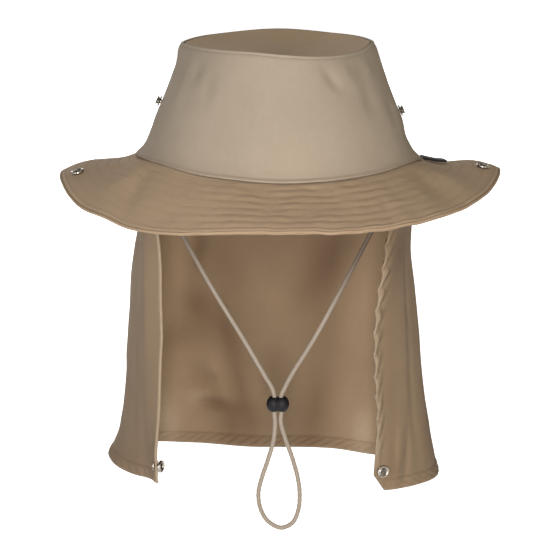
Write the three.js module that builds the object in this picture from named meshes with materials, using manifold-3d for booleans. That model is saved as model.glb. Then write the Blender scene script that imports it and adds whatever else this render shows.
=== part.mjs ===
// Flap sun hat, in millimetres: +Z up, the front of the hat faces -Y.
// The origin is the centre of the head opening, at the seam between crown and brim.
import * as THREE from 'three';
import { mergeVertices } from 'three/addons/utils/BufferGeometryUtils.js';
import Module from 'manifold-3d';

const wasm = await Module();
wasm.setup();

// Driving dimensions of the crown
const seamHalfWidth = 95;
const seamHalfDepth = 97.4;
const rimHalfWidth = 60.7;
const rimHalfDepth = 71;
const crownHeight = 79;
const crownWall = 1.6;
const seamLift = 5.5;
const rimDip = 3;
const rimCornerReach = 1.4;
const crownShift = -0.9;
const crownShiftRise = 0.2;
const rimCornerSharpness = 4;
const footTuck = 2.3;
const footTuckRise = 0.3;
const tipSag = 6;
const tipFlatness = 3;
const tipWall = 1.6;

// Driving dimensions of the brim
const brimHalfWidth = 147.8;
const brimHalfDepth = 151;
const brimDrop = 26;
const brimWall = 2.4;
const brimCurl = 2.5;
const seamAllowance = 7;

// Driving dimensions of the flap
const flapInset = 2;
const flapLength = 226;
const flapHemHalfWidth = 124;
const flapBackDepth = 104;
const flapUpper = 0.27;
const flapMiddle = 0.8;
const flapWall = 1.6;
const hemExtra = 0.8;
const hemHeight = 12;
const hemWave = 6;
const cornerCut = 12;

// Driving dimensions of the snaps, the label, the cord and its lock
const snapRadius = 5;
const snapNeckRadius = 1.6;
const snapPlate = 0.9;
const studPostRadius = 2;
const studFlangeRadius = 3.2;
const studHeight = 2.8;
const studWaistRadius = 1.7;
const studTopRadius = 1.4;
const studDome = 1.2;
const studFillet = 0.2;
const socketHeight = 1.8;
const socketBore = 2.4;
const socketBevel = 0.75;
const tabLength = 17;
const tabWidth = 14;
const tabWall = 1.2;
const tabAngle = 7;
const tabClearance = 0.75;
const cordDiameter = 3;
const lockWidth = 15.7;
const lockHeight = 10.8;
const lockDepth = 9;
const lockLobeRadius = 4.55;
const lockLevel = -171.3;
const gap = 0.3;
const cordClearance = 0.35;

// Places of the snaps: heights on the crown, distance in from the brim's edge and from the flap's corners
const studHeightLeft = 36.9;
const studHeightRight = 30.6;
const studAngleOffset = 5;
const socketInset = 12;
const socketAngleLeft = 190;
const socketAngleRight = -7;
const flapSnapRise = 12;
const flapSnapInset = 6.6;

// Grid steps along and across each piece of cloth
const crownSteps = { along: 30, across: 8 };
const crownRowBias = 1.4;
const tipSteps = { round: 48, across: 3 };
const brimSteps = { along: 60, across: 6 };
const flapSteps = { along: 54, across: 12 };
const snapSides = 12;
const tabSteps = 4;
const lockSides = { round: 14, rings: 8 };
const cordSides = 8;
const cordSteps = 78;

function table(columns, rows) {
  return rows.map((row) => Object.fromEntries(columns.map((name, i) => [name, row[i]])));
}

// Shape of the seam and the brim's edge round the hat: angles in degrees, 0 at +X and 90 at the back.
// lift is a share of seamLift, drop of brimDrop, dip of rimDip, corner of rimCornerReach, curl of brimCurl
// and tuck of footTuck.
const roundTheHat = table(
  ['angle', 'lift', 'drop', 'dip', 'corner', 'curl', 'tuck'],
  [
    [-180, 0.45, 0.4, 0.3, 1.0, 0.6, 0],
    [-168, 0.7, 0.43, 0.1, 0.2, 0.2, 0],
    [-160, 0.85, 0.61, 0.0, 0.0, 0.05, 0],
    [-151, 0.95, 0.76, -0.1, 0.0, 0.0, 0],
    [-140, 0.85, 0.82, -0.2, 0.0, 0.0, 0],
    [-126, 0.45, 0.97, -0.3, 0.0, 0.0, 0],
    [-108, 0.15, 0.87, -0.35, 0.0, 0.0, 0],
    [-90, -0.1, 0.86, 0.1, 0.0, 0.0, 0],
    [-70, 0.0, 0.87, 0.7, 0.0, 0.0, 0],
    [-58, 0.15, 0.84, 0.9, 0.0, 0.0, 0],
    [-45, 0.35, 0.73, 0.95, 0.0, 0.0, 0],
    [-30, 0.6, 0.6, 0.8, 0.0, 0.0, 0.1],
    [-17, 0.45, 0.39, 0.4, 0.0, 0.15, 0.6],
    [-9, 0.1, 0.28, 0.2, 0.4, 0.4, 0.9],
    [0, -0.2, 0.3, 0.0, 1.0, 0.8, 1],
    [12, -0.25, 0.5, 0.1, 0.2, 1.0, 0.9],
    [30, -0.2, 1.0, 0.2, 0.0, 0.7, 0.3],
    [55, -0.1, 1.25, 0.3, 0.0, 0.2, 0],
    [90, 0.0, 1.25, 0.25, 0.0, 0.0, 0],
    [125, 0.2, 1.2, 0.3, 0.0, 0.1, 0],
    [150, 0.4, 0.96, 0.3, 0.0, 0.5, 0],
    [168, 0.45, 0.52, 0.3, 0.2, 0.75, 0],
  ],
);

// Flare of the crown from its rim, at 0, to its foot, at 1: side at the ears, front at front and back
const crownProfile = table(
  ['height', 'side', 'front'],
  [
    [0, 1.0, 1.0],
    [0.04, 0.9, 0.95],
    [0.09, 0.83, 0.895],
    [0.16, 0.765, 0.82],
    [0.24, 0.7, 0.74],
    [0.33, 0.635, 0.65],
    [0.49, 0.48, 0.49],
    [0.6, 0.375, 0.385],
    [0.71, 0.28, 0.28],
    [0.82, 0.18, 0.175],
    [0.93, 0.085, 0.07],
    [1.0, 0.0, 0.0],
  ],
);

// Columns of the flap from its left front edge round the back to its right front edge.
// angle is where the column starts on the seam; up, mid and hem are shares of the hem's half width
// and the back's depth at flapUpper, at flapMiddle and at the hem; wave is a share of hemWave.
const flapColumns = table(
  ['angle', 'upX', 'upY', 'midX', 'midY', 'hemX', 'hemY', 'wave'],
  [
    [195, -0.665, -0.173, -0.665, -0.067, -0.673, -0.077, 0],
    [184, -0.742, -0.029, -0.742, 0.077, -0.734, 0.106, 0.1],
    [172, -0.78, 0.135, -0.815, 0.231, -0.855, 0.269, 0.2],
    [158, -0.793, 0.365, -0.868, 0.442, -0.955, 0.5, 0],
    [144, -0.75, 0.606, -0.877, 0.692, -0.976, 0.788, -0.1],
    [128, -0.613, 0.788, -0.774, 0.894, -0.79, 1, 0],
    [110, -0.387, 0.904, -0.484, 0.962, -0.5, 0.971, 0.2],
    [92, -0.129, 0.942, -0.169, 0.913, -0.177, 0.846, 0.3],
    [75, 0.145, 0.942, 0.121, 0.885, 0.097, 0.837, 0.3],
    [58, 0.387, 0.885, 0.371, 0.865, 0.339, 0.837, 0.5],
    [42, 0.573, 0.76, 0.589, 0.769, 0.573, 0.721, 0.7],
    [26, 0.673, 0.558, 0.758, 0.615, 0.782, 0.654, 0.75],
    [10, 0.711, 0.317, 0.823, 0.365, 0.895, 0.442, 0.65],
    [-5, 0.702, 0.077, 0.79, 0.115, 0.863, 0.135, 0.5],
    [-19, 0.661, -0.125, 0.685, -0.058, 0.726, -0.058, 0.45],
    [-32, 0.577, -0.317, 0.512, -0.212, 0.522, -0.173, 0.45],
  ],
);

// Route of the chin cord's middle line, from the left side of the seam down through the lock,
// round the loop and back up to the right side of the seam
const cordRoute = [
  [-90.4, 0, -0.4],
  [-90.2, 0, -5],
  [-88, 0, -12.5],
  [-78.6, 0, -31],
  [-63, 0, -59],
  [-44.6, 0, -92.4],
  [-24.6, 0, -126],
  [-10.3, 0, -151.4],
  [-5.2, 0, -160.5],
  [-4, 0, -165],
  [-4, 0, lockLevel],
  [-3.9, 0, -177],
  [-3.4, 0, -184],
  [-4.4, 0, -197],
  [-8.6, 0, -212],
  [-12.5, 0, -224],
  [-15, 0, -235.5],
  [-13.4, 0, -247],
  [-8, 0, -256],
  [1, 0, -260.4],
  [8.8, 0, -256.6],
  [12.8, 0, -247],
  [13.6, 0, -235],
  [12.2, 0, -224],
  [8.8, 0, -211],
  [3.4, 0, -195],
  [0.5, 0, -184],
  [0.9, 0, -177],
  [1, 0, lockLevel],
  [1, 0, -165],
  [2.9, -0.4, -160.5],
  [7.4, -2, -151],
  [22.6, -7, -124.5],
  [40.4, -13, -89.5],
  [59.4, -20, -50],
  [72.5, -26, -24],
  [81.4, -32.2, -7],
  [83.2, -33.6, -0.3],
];

const radians = THREE.MathUtils.degToRad;
const mix = THREE.MathUtils.lerp;

// Smooth curve through the values of one column; a period closes it on itself
function smoothColumn(rows, key, column, period = 0) {
  const knots = rows.map((row) => ({ at: row[key], value: row[column] }));
  const last = knots.length - 1;
  if (period) {
    const before = { at: knots[last].at - period, value: knots[last].value };
    const after = knots.slice(0, 2).map((knot) => ({ at: knot.at + period, value: knot.value }));
    knots.unshift(before);
    knots.push(...after);
  }
  const slope = (i) => {
    const a = knots[Math.max(i - 1, 0)];
    const b = knots[Math.min(i + 1, knots.length - 1)];
    return (b.value - a.value) / (b.at - a.at);
  };
  return (x) => {
    const start = rows[0][key];
    const at = period ? start + THREE.MathUtils.euclideanModulo(x - start, period) : x;
    const next = knots.findIndex((knot) => knot.at > at);
    const i = next < 0 ? knots.length - 2 : Math.max(next - 1, 0);
    const a = knots[i];
    const b = knots[i + 1];
    const span = b.at - a.at;
    const t = (at - a.at) / span;
    const rise = t * t * (3 - 2 * t);
    const leave = t * (1 - t) * (1 - t) * span * slope(i);
    const arrive = t * t * (1 - t) * span * slope(i + 1);
    return a.value + (b.value - a.value) * rise + leave - arrive;
  };
}

const liftShare = smoothColumn(roundTheHat, 'angle', 'lift', 360);
const dropShare = smoothColumn(roundTheHat, 'angle', 'drop', 360);
const dipShare = smoothColumn(roundTheHat, 'angle', 'dip', 360);
const cornerShare = smoothColumn(roundTheHat, 'angle', 'corner', 360);
const curlShare = smoothColumn(roundTheHat, 'angle', 'curl', 360);
const tuckShare = smoothColumn(roundTheHat, 'angle', 'tuck', 360);
const sideFlare = smoothColumn(crownProfile, 'height', 'side');
const frontFlare = smoothColumn(crownProfile, 'height', 'front');

function onEllipse(angle, halfWidth, halfDepth, z) {
  return new THREE.Vector3(
    halfWidth * Math.cos(radians(angle)),
    halfDepth * Math.sin(radians(angle)),
    z,
  );
}

const seamZ = (angle) => seamLift * liftShare(angle);
const rimZ = (angle) => crownHeight - rimDip * dipShare(angle);

// Middle surface of the crown: height runs from the foot, at 0, to the rim, at 1
const footLift = crownWall / 2 + gap;
function crownPoint(angle, height) {
  const sideways = Math.cos(radians(angle)) ** 2;
  const flare = mix(frontFlare(height), sideFlare(height), sideways);
  const corner = rimCornerReach * cornerShare(angle) * height ** rimCornerSharpness;
  const tuck = footTuck * tuckShare(angle) * Math.sin(Math.PI * Math.min(1, height / footTuckRise));
  const point = onEllipse(
    angle,
    mix(rimHalfWidth, seamHalfWidth, flare) + corner - tuck,
    mix(rimHalfDepth, seamHalfDepth, flare),
    mix(seamZ(angle) + footLift, rimZ(angle), height),
  );
  point.x += crownShift * Math.min(1, height / crownShiftRise);
  return point;
}

// Middle surface of the brim: reach is 0 at the seam, 1 at the edge and below 0 on the seam allowance.
// At the sides it curls: it sinks next to the seam and rises towards the edge.
const allowanceReach = -seamAllowance / (brimHalfWidth - seamHalfWidth);
function brimPoint(angle, reach) {
  const start = seamZ(angle) - brimWall / 2;
  const out = Math.max(reach, 0);
  const curl = -brimCurl * curlShare(angle) * Math.sin(2 * Math.PI * out);
  return onEllipse(
    angle,
    mix(seamHalfWidth, brimHalfWidth, reach),
    mix(seamHalfDepth, brimHalfDepth, reach),
    mix(start, -brimDrop * dropShare(angle), out) + curl,
  );
}

// Middle surface of the flap: along runs from the left front edge to the right one, down from seam to hem
const columnRows = flapColumns.map((row, i) => ({ ...row, along: i / (flapColumns.length - 1) }));
const flapShare = Object.fromEntries(
  Object.keys(flapColumns[0]).map((name) => [name, smoothColumn(columnRows, 'along', name)]),
);
const flapLevel = (along, x, y) => ({
  x: flapShare[x](along) * flapHemHalfWidth,
  y: flapShare[y](along) * flapBackDepth,
});

function flapPoint(along, down) {
  const angle = flapShare.angle(along);
  const inset = seamHalfWidth - flapInset;
  const top = onEllipse(angle, inset, seamHalfDepth - flapInset, 0);
  const levels = [
    { down: 0, x: top.x, y: top.y },
    { down: flapUpper, ...flapLevel(along, 'upX', 'upY') },
    { down: flapMiddle, ...flapLevel(along, 'midX', 'midY') },
    { down: 1, ...flapLevel(along, 'hemX', 'hemY') },
  ];
  const topZ = seamZ(angle) - brimWall - gap;
  const cornerRise = cornerCut * Math.max(0, 1 - (1 - along) * flapSteps.along);
  const hemZ = cornerRise - flapLength - hemWave * flapShare.wave(along);
  return new THREE.Vector3(
    smoothColumn(levels, 'down', 'x')(down),
    smoothColumn(levels, 'down', 'y')(down),
    mix(topZ, hemZ, down),
  );
}

const hemShare = hemHeight / flapLength;
const flapThickness = (along, down) => flapWall + (down > 1 - hemShare ? hemExtra : 0);

function normalAt(surface, u, v) {
  const step = 0.002;
  const alongU = surface(u + step, v).sub(surface(u - step, v));
  const alongV = surface(u, v + step).sub(surface(u, v - step));
  return alongU.cross(alongV).normalize();
}

// Wall of cloth laid evenly on both sides of a surface; its outer face looks along the surface's normal
function clothWall(surface, us, vs, thickness, closed = false) {
  const positions = [];
  const faces = [];
  const columns = closed ? us.length - 1 : us.length;
  for (const side of [0.5, -0.5]) {
    for (let i = 0; i < columns; i += 1) {
      for (const v of vs) {
        const normal = normalAt(surface, us[i], v);
        const point = surface(us[i], v).addScaledVector(normal, side * thickness(us[i], v));
        positions.push(point.x, point.y, point.z);
      }
    }
  }
  const innerStart = columns * vs.length;
  const at = (i, j) => (i % columns) * vs.length + j;
  const quad = (a, b, c, d) => faces.push(a, b, c, a, c, d);
  for (let i = 0; i < us.length - 1; i += 1) {
    for (let j = 0; j < vs.length - 1; j += 1) {
      const corners = [at(i, j), at(i + 1, j), at(i + 1, j + 1), at(i, j + 1)];
      quad(...corners);
      quad(...corners.map((corner) => corner + innerStart).reverse());
    }
    const top = vs.length - 1;
    quad(at(i + 1, 0), at(i, 0), at(i, 0) + innerStart, at(i + 1, 0) + innerStart);
    quad(at(i, top), at(i + 1, top), at(i + 1, top) + innerStart, at(i, top) + innerStart);
  }
  if (!closed) {
    const last = us.length - 1;
    for (let j = 0; j < vs.length - 1; j += 1) {
      quad(at(0, j), at(0, j + 1), at(0, j + 1) + innerStart, at(0, j) + innerStart);
      quad(at(last, j + 1), at(last, j), at(last, j) + innerStart, at(last, j + 1) + innerStart);
    }
  }
  const geometry = new THREE.BufferGeometry();
  geometry.setAttribute('position', new THREE.Float32BufferAttribute(positions, 3));
  geometry.setIndex(faces);
  return geometry;
}

const evenly = (from, to, steps) => Array.from({ length: steps + 1 }, (_, i) => mix(from, to, i / steps));

const weldDistance = 1e-4;
function toSolid(geometry) {
  const bare = geometry.clone();
  bare.deleteAttribute('normal');
  bare.deleteAttribute('uv');
  const merged = mergeVertices(bare, weldDistance);
  return new wasm.Manifold(new wasm.Mesh({
    numProp: 3,
    vertProperties: new Float32Array(merged.attributes.position.array),
    triVerts: new Uint32Array(merged.index.array),
  }));
}

function fromSolid(solid) {
  const mesh = solid.getMesh();
  const geometry = new THREE.BufferGeometry();
  geometry.setAttribute('position', new THREE.Float32BufferAttribute(mesh.vertProperties, 3));
  geometry.setIndex([...mesh.triVerts]);
  return geometry;
}

// A snap sits on a surface: its own axis is +Y in the geometry and is turned to the cloth's normal
function seatOf(surface, u, v, outwards) {
  const normal = normalAt(surface, u, v).multiplyScalar(outwards);
  return {
    point: surface(u, v),
    turn: new THREE.Quaternion().setFromUnitVectors(new THREE.Vector3(0, 1, 0), normal),
  };
}

const cutLength = 12;
function punch(geometry, seats) {
  let solid = toSolid(geometry);
  for (const seat of seats) {
    const hole = new THREE.CylinderGeometry(snapNeckRadius + gap, snapNeckRadius + gap, cutLength, snapSides);
    hole.applyQuaternion(seat.turn);
    hole.translate(seat.point.x, seat.point.y, seat.point.z);
    solid = solid.subtract(toSolid(hole));
  }
  return fromSolid(solid);
}

const snapSeatGap = 0.82;
function lathe(profile) {
  return new THREE.LatheGeometry(profile.map(([r, y]) => new THREE.Vector2(r, y)), snapSides);
}

// Back plate and neck shared by every snap, up to the outer face of a cloth of the given wall
function snapRoot(wall) {
  const face = wall / 2 + snapSeatGap;
  return {
    face,
    root: [
      [0, -face - snapPlate],
      [snapRadius, -face - snapPlate],
      [snapRadius, -face],
      [snapNeckRadius, -face],
      [snapNeckRadius, face],
    ],
  };
}

function studGeometry(wall) {
  const { face, root } = snapRoot(wall);
  const top = face + studHeight;
  return lathe([
    ...root,
    [studFlangeRadius, face],
    [studFlangeRadius, face + snapPlate],
    [studWaistRadius, face + snapPlate + studFillet],
    [studPostRadius, top - studDome],
    [studTopRadius, top],
    [0, top],
  ]);
}

function socketGeometry(wall) {
  const { face, root } = snapRoot(wall);
  const top = face + socketHeight;
  return lathe([
    ...root,
    [snapRadius, face],
    [snapRadius, top - socketBevel],
    [snapRadius - socketBevel, top],
    [socketBore, top],
    [socketBore, face + snapPlate],
    [0, face + snapPlate],
  ]);
}

const cloth = (colour) => new THREE.MeshStandardMaterial({ color: colour, roughness: 0.9, metalness: 0 });
const crownCloth = cloth(0xb0a08a);
const brimCloth = cloth(0x9a836b);
const flapCloth = cloth(0x8d7559);
const cordBraid = cloth(0x99918a);
const labelCloth = cloth(0x2a2827);
const lockPlastic = new THREE.MeshStandardMaterial({ color: 0x1c1a1b, roughness: 0.45, metalness: 0 });
const nickel = new THREE.MeshStandardMaterial({ color: 0xb8b4ac, roughness: 0.3, metalness: 1 });

const hat = new THREE.Group();
function add(name, geometry, material, seat) {
  const mesh = new THREE.Mesh(geometry, material);
  mesh.name = name;
  if (seat) {
    mesh.position.copy(seat.point);
    mesh.quaternion.copy(seat.turn);
  }
  hat.add(mesh);
}

// Seats of all the snaps
const crownHeightShare = (angle, z) => (z - seamZ(angle) - footLift) / (rimZ(angle) - seamZ(angle) - footLift);
const studAngle = { left: 180 - studAngleOffset, right: studAngleOffset };
const studSeat = {
  left: seatOf(crownPoint, studAngle.left, crownHeightShare(180, studHeightLeft), 1),
  right: seatOf(crownPoint, studAngle.right, crownHeightShare(0, studHeightRight), 1),
};
const socketReach = 1 - socketInset / (brimHalfWidth - seamHalfWidth);
const socketSeat = {
  left: seatOf(brimPoint, socketAngleLeft, socketReach, -1),
  right: seatOf(brimPoint, socketAngleRight, socketReach, -1),
};
const flapSnapDown = 1 - flapSnapRise / flapLength;
const hemPoints = evenly(0, 1, flapSteps.along).map((along) => flapPoint(along, 1));
const hemRun = new THREE.CatmullRomCurve3(hemPoints).getLength();
const flapSnapSeat = {
  left: seatOf(flapPoint, flapSnapInset / hemRun, flapSnapDown, -1),
  right: seatOf(flapPoint, 1 - flapSnapInset / hemRun, flapSnapDown, 1),
};

// Crown: two side panels with a small gap at the side seams, and the tip inside the rim
const seamGapAngle = THREE.MathUtils.radToDeg(gap / 2 / rimHalfWidth);
const crownPanels = {
  crown_front: { from: -180 + seamGapAngle, to: -seamGapAngle, seats: [] },
  crown_back: { from: seamGapAngle, to: 180 - seamGapAngle, seats: [studSeat.left, studSeat.right] },
};
for (const [name, panel] of Object.entries(crownPanels)) {
  const angles = evenly(panel.from, panel.to, crownSteps.along);
  const heights = evenly(0, 1, crownSteps.across).map((share) => share ** crownRowBias);
  add(name, punch(clothWall(crownPoint, angles, heights, () => crownWall), panel.seats), crownCloth);
}

function tipGeometry() {
  const shares = evenly(0, 1, tipSteps.across);
  const below = shares.map((share) => new THREE.Vector2(share, -tipWall));
  const above = shares.map((share) => new THREE.Vector2(share, 0)).reverse();
  const disc = new THREE.LatheGeometry([...below, ...above], tipSteps.round);
  disc.rotateX(Math.PI / 2);
  const place = disc.attributes.position;
  const edge = crownWall / 2 + gap * 2;
  for (let i = 0; i < place.count; i += 1) {
    const angle = THREE.MathUtils.radToDeg(Math.atan2(place.getY(i), place.getX(i)));
    const reach = Math.hypot(place.getX(i), place.getY(i));
    const rim = crownPoint(angle, 1);
    const side = new THREE.Vector2(rim.x, rim.y);
    side.setLength(side.length() - edge).multiplyScalar(reach);
    const sunk = gap + tipSag * (1 - reach ** tipFlatness);
    place.setXYZ(i, side.x, side.y, mix(crownHeight, rim.z, reach) - sunk + place.getZ(i));
  }
  return disc;
}
add('crown_tip', tipGeometry(), crownCloth);

// Brim, flap and their snaps
const brimReaches = [allowanceReach, ...evenly(0, 1, brimSteps.across)];
const brimAngles = evenly(-180, 180, brimSteps.along);
const brimSheet = clothWall(brimPoint, brimAngles, brimReaches, () => brimWall, true);
add('brim', punch(brimSheet, Object.values(socketSeat)), brimCloth);

const flapDowns = [...evenly(0, 1 - hemShare, flapSteps.across), 1 - hemShare / 2, 1];
const flapSheet = clothWall(flapPoint, evenly(0, 1, flapSteps.along), flapDowns, flapThickness);
add('neck_flap', punch(flapSheet, Object.values(flapSnapSeat)), flapCloth);

for (const side of ['left', 'right']) {
  add(`crown_stud_${side}`, studGeometry(crownWall), nickel, studSeat[side]);
  add(`brim_socket_${side}`, socketGeometry(brimWall), nickel, socketSeat[side]);
  add(`flap_snap_${side}`, socketGeometry(flapWall + hemExtra), nickel, flapSnapSeat[side]);
}

// Label tab on top of the brim, its inner end just outside the crown's foot, a little behind the side seam
const brimBand = brimHalfWidth - seamHalfWidth;
const tabStart = (crownWall / 2 + gap) / brimBand;
const tabSpan = THREE.MathUtils.radToDeg(tabWidth / seamHalfDepth);
const tabLift = brimWall / 2 + tabClearance + tabWall / 2;
function tabPoint(angle, reach) {
  const normal = normalAt(brimPoint, angle, reach);
  return brimPoint(angle, reach).addScaledVector(normal, -tabLift);
}
const tabAngles = evenly(tabAngle - tabSpan / 2, tabAngle + tabSpan / 2, tabSteps);
const tabReaches = evenly(tabStart, tabStart + tabLength / brimBand, tabSteps);
add('label_tab', clothWall(tabPoint, tabAngles, tabReaches, () => tabWall), labelCloth);

// Chin cord, and the lock that it passes through twice
const cordCurve = new THREE.CatmullRomCurve3(cordRoute.map((point) => new THREE.Vector3(...point)));
const cordSection = new THREE.Shape(
  evenly(0, 1, cordSides).slice(0, -1).map((share) => new THREE.Vector2(
    cordDiameter / 2 * Math.cos(share * 2 * Math.PI),
    cordDiameter / 2 * Math.sin(share * 2 * Math.PI),
  )),
);
add('chin_cord', new THREE.ExtrudeGeometry(cordSection, { steps: cordSteps, extrudePath: cordCurve }), cordBraid);

function lockGeometry() {
  const strands = cordRoute.filter(([, , z]) => z === lockLevel);
  const centre = new THREE.Vector3((strands[0][0] + strands[1][0]) / 2, 0, strands[0][2]);
  let body;
  for (const side of [-1, 1]) {
    const lobe = new THREE.SphereGeometry(1, lockSides.round, lockSides.rings);
    lobe.rotateX(Math.PI / 2);
    lobe.scale(lockLobeRadius, lockDepth / 2, lockHeight / 2);
    lobe.translate(centre.x + side * (lockWidth / 2 - lockLobeRadius), centre.y, centre.z);
    body = body ? body.add(toSolid(lobe)) : toSolid(lobe);
  }
  for (const [x, y, z] of strands) {
    const radius = cordDiameter / 2 + cordClearance;
    const bore = new THREE.CylinderGeometry(radius, radius, lockHeight * 2, cordSides);
    bore.rotateX(Math.PI / 2);
    bore.translate(x, y, z);
    body = body.subtract(toSolid(bore));
  }
  return fromSolid(body);
}
add('cord_lock', lockGeometry(), lockPlastic);

export default hat;
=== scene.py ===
# Flap sun hat: its cloth, stitching, snaps and cord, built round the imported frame.
# Everything is in metres, +Z is up and the front of the hat faces -Y.
import math
import bpy
import numpy as np
from mathutils import Matrix, Vector, noise


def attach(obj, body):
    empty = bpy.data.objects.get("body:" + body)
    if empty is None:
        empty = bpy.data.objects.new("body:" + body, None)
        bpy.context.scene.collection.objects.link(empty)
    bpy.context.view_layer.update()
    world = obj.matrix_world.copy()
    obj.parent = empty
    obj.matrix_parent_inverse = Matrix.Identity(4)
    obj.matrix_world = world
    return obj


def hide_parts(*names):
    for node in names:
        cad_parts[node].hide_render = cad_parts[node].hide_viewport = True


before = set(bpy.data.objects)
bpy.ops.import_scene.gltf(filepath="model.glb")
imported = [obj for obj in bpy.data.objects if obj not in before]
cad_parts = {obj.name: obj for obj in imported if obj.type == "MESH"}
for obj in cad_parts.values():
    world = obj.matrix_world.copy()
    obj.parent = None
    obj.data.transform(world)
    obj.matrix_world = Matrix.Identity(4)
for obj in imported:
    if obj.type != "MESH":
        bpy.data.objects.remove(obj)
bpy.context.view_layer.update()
print("frame loaded:", len(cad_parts), "nodes")

studio = {
    "eye": (0.0, -1.6, 0.268),
    "target": (0.0, 0.0, -0.084),
    "lens": 154.88,
    "floorLevel": -0.34,
    "floorSize": 16.0,
    "skyLight": (0.235, 0.222, 0.205),    # what the surroundings give to the cloth
    "floorGlow": 0.9,
    "lamps": {             # place, width, height, share of full light at the hat, colour
        "frontKey": ((-0.03, -0.95, -0.02), 0.22, 0.6, 0.865, (1.0, 0.985, 0.965)),
        "leftFill": ((-1.9, -1.9, 0.1), 1.0, 1.0, 0.19, (0.97, 0.97, 0.96)),
        "rightFill": ((1.9, -1.9, 0.1), 1.0, 1.0, 0.17, (1.0, 0.905, 0.66)),
        "topSoft": ((0.0, 0.1, 2.7), 2.0, 2.0, 0.14, (1.0, 0.95, 0.88)),
        "backSoft": ((-0.7, 2.9, 0.5), 1.6, 1.6, 0.42, (1.0, 0.98, 0.95)),
    },
}


def link(data, name):
    made = bpy.data.objects.new(name, data)
    bpy.context.scene.collection.objects.link(made)
    return made


def makeMesh(name, points, faces, paint=None):
    data = bpy.data.meshes.new(name)
    data.from_pydata(points, [], faces)
    data.shade_smooth()
    if paint:
        data.materials.append(paint)
    return data


def setValues(data, name, values):
    data.attributes.new(name, "FLOAT", "POINT").data.foreach_set("value", np.asarray(values, np.float32))


def setUv(data, name, values):
    data.uv_layers.new(name=name).data.foreach_set("uv", np.asarray(values, np.float32).ravel())


def evaluatedMesh(thing):
    bpy.context.view_layer.update()
    evaluated = thing.evaluated_get(bpy.context.evaluated_depsgraph_get())
    return bpy.data.meshes.new_from_object(evaluated)


def aim(thing, place, target):
    thing.location = place
    look = Vector(target) - Vector(place)
    thing.rotation_euler = look.to_track_quat("-Z", "Y").to_euler()


def makeCamera():
    data = bpy.data.cameras.new("photoCamera")
    data.lens = studio["lens"]
    data.sensor_width = 36
    camera = link(data, "photoCamera")
    aim(camera, studio["eye"], studio["target"])
    bpy.context.scene.camera = camera


def makeLamps():
    for name, (place, width, height, share, tint) in studio["lamps"].items():
        data = bpy.data.lights.new(name, "AREA")
        data.shape = "RECTANGLE"
        data.size = width
        data.size_y = height
        data.color = tint
        away = (Vector(place) - Vector(studio["target"])).length
        data.energy = share * (math.pi * away) ** 2
        lamp = link(data, name)
        lamp.visible_camera = False
        aim(lamp, place, studio["target"])


makeCamera()
makeLamps()
print("camera and lamps placed")


# Nodes: a Wire is one socket, and sums and products of wires add Math nodes
class Wire:
    def __init__(self, nodes, socket):
        self.nodes = nodes
        self.socket = socket

    def math(self, operation, other=None, swapped=False):
        pair = (other, self) if swapped else (self, other)
        given = {i: value for i, value in enumerate(pair) if value is not None}
        return self.nodes.node("ShaderNodeMath", {"operation": operation}, given)

    def __add__(self, other):
        return self.math("ADD", other)

    def __sub__(self, other):
        return self.math("SUBTRACT", other)

    def __rsub__(self, other):
        return self.math("SUBTRACT", other, True)

    def __mul__(self, other):
        return self.math("MULTIPLY", other)

    def __pow__(self, other):
        return self.math("POWER", other)

    def __rpow__(self, other):
        return self.math("POWER", other, True)

    __radd__ = __add__
    __rmul__ = __mul__

    def sine(self):
        return self.math("SINE")

    def held(self):
        return self.nodes.node("ShaderNodeClamp", {}, {"Value": self})


class Nodes:
    def __init__(self, tree):
        self.tree = tree

    def node(self, kind, settings, sockets, output=0):
        made = self.tree.nodes.new(kind)
        for key, value in settings.items():
            setattr(made, key, value)
        for key, value in sockets.items():
            self.feed(made.inputs[key], value)
        return Wire(self, made.outputs[output])

    def feed(self, socket, value):
        if isinstance(value, Wire):
            self.tree.links.new(value.socket, socket)
        else:
            socket.default_value = value

    def blend(self, share, first, second, how="MIX"):      # sockets 6, 7 and 2 are the colours' own
        settings = {"data_type": "RGBA", "blend_type": how}
        return self.node("ShaderNodeMix", settings, {0: share, 6: first, 7: second}, 2)


class Paint(Nodes):
    def __init__(self, name):
        self.material = bpy.data.materials.new(name)
        self.material.use_nodes = True
        super().__init__(self.material.node_tree)
        self.place = self.node("ShaderNodeTexCoord", {}, {}, "Object")

    def surface(self, sockets):
        for name, value in sockets.items():
            self.feed(self.tree.nodes["Principled BSDF"].inputs[name], value)
        return self.material

    def attribute(self, name):
        return self.node("ShaderNodeAttribute", {"attribute_name": name}, {}, "Fac")

    def along(self, name):
        uv = self.node("ShaderNodeUVMap", {"uv_map": name}, {})
        return [self.node("ShaderNodeSeparateXYZ", {}, {"Vector": uv}, axis) for axis in (0, 1)]

    def noise(self, size, detail=3.0):
        sockets = {"Vector": self.place, "Scale": 1 / size, "Detail": detail}
        return self.node("ShaderNodeTexNoise", {}, sockets)

    def bump(self, height, distance, strength=1.0):
        sockets = {"Height": height, "Distance": distance, "Strength": strength}
        return self.node("ShaderNodeBump", {}, sockets)


def colour(red, green, blue, shade=1.0):
    return (red * shade, green * shade, blue * shade, 1.0)


twill = {
    "rib": 0.0011,             # distance between the weave's diagonal ribs
    "yarn": 0.00052,
    "ribSlope": 1.7,
    "mottle": 0.045,
    "slub": 0.004,
    "relief": 0.00016,
    "creaseShade": (0.50, 0.42, 0.37),     # the painted shade's colour, as shares of the cloth's dark colour
    # warm painted bounce light on the cloth's inner face
    "innerWarmBounce": (1.02, 0.99, 0.95),
}


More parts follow.
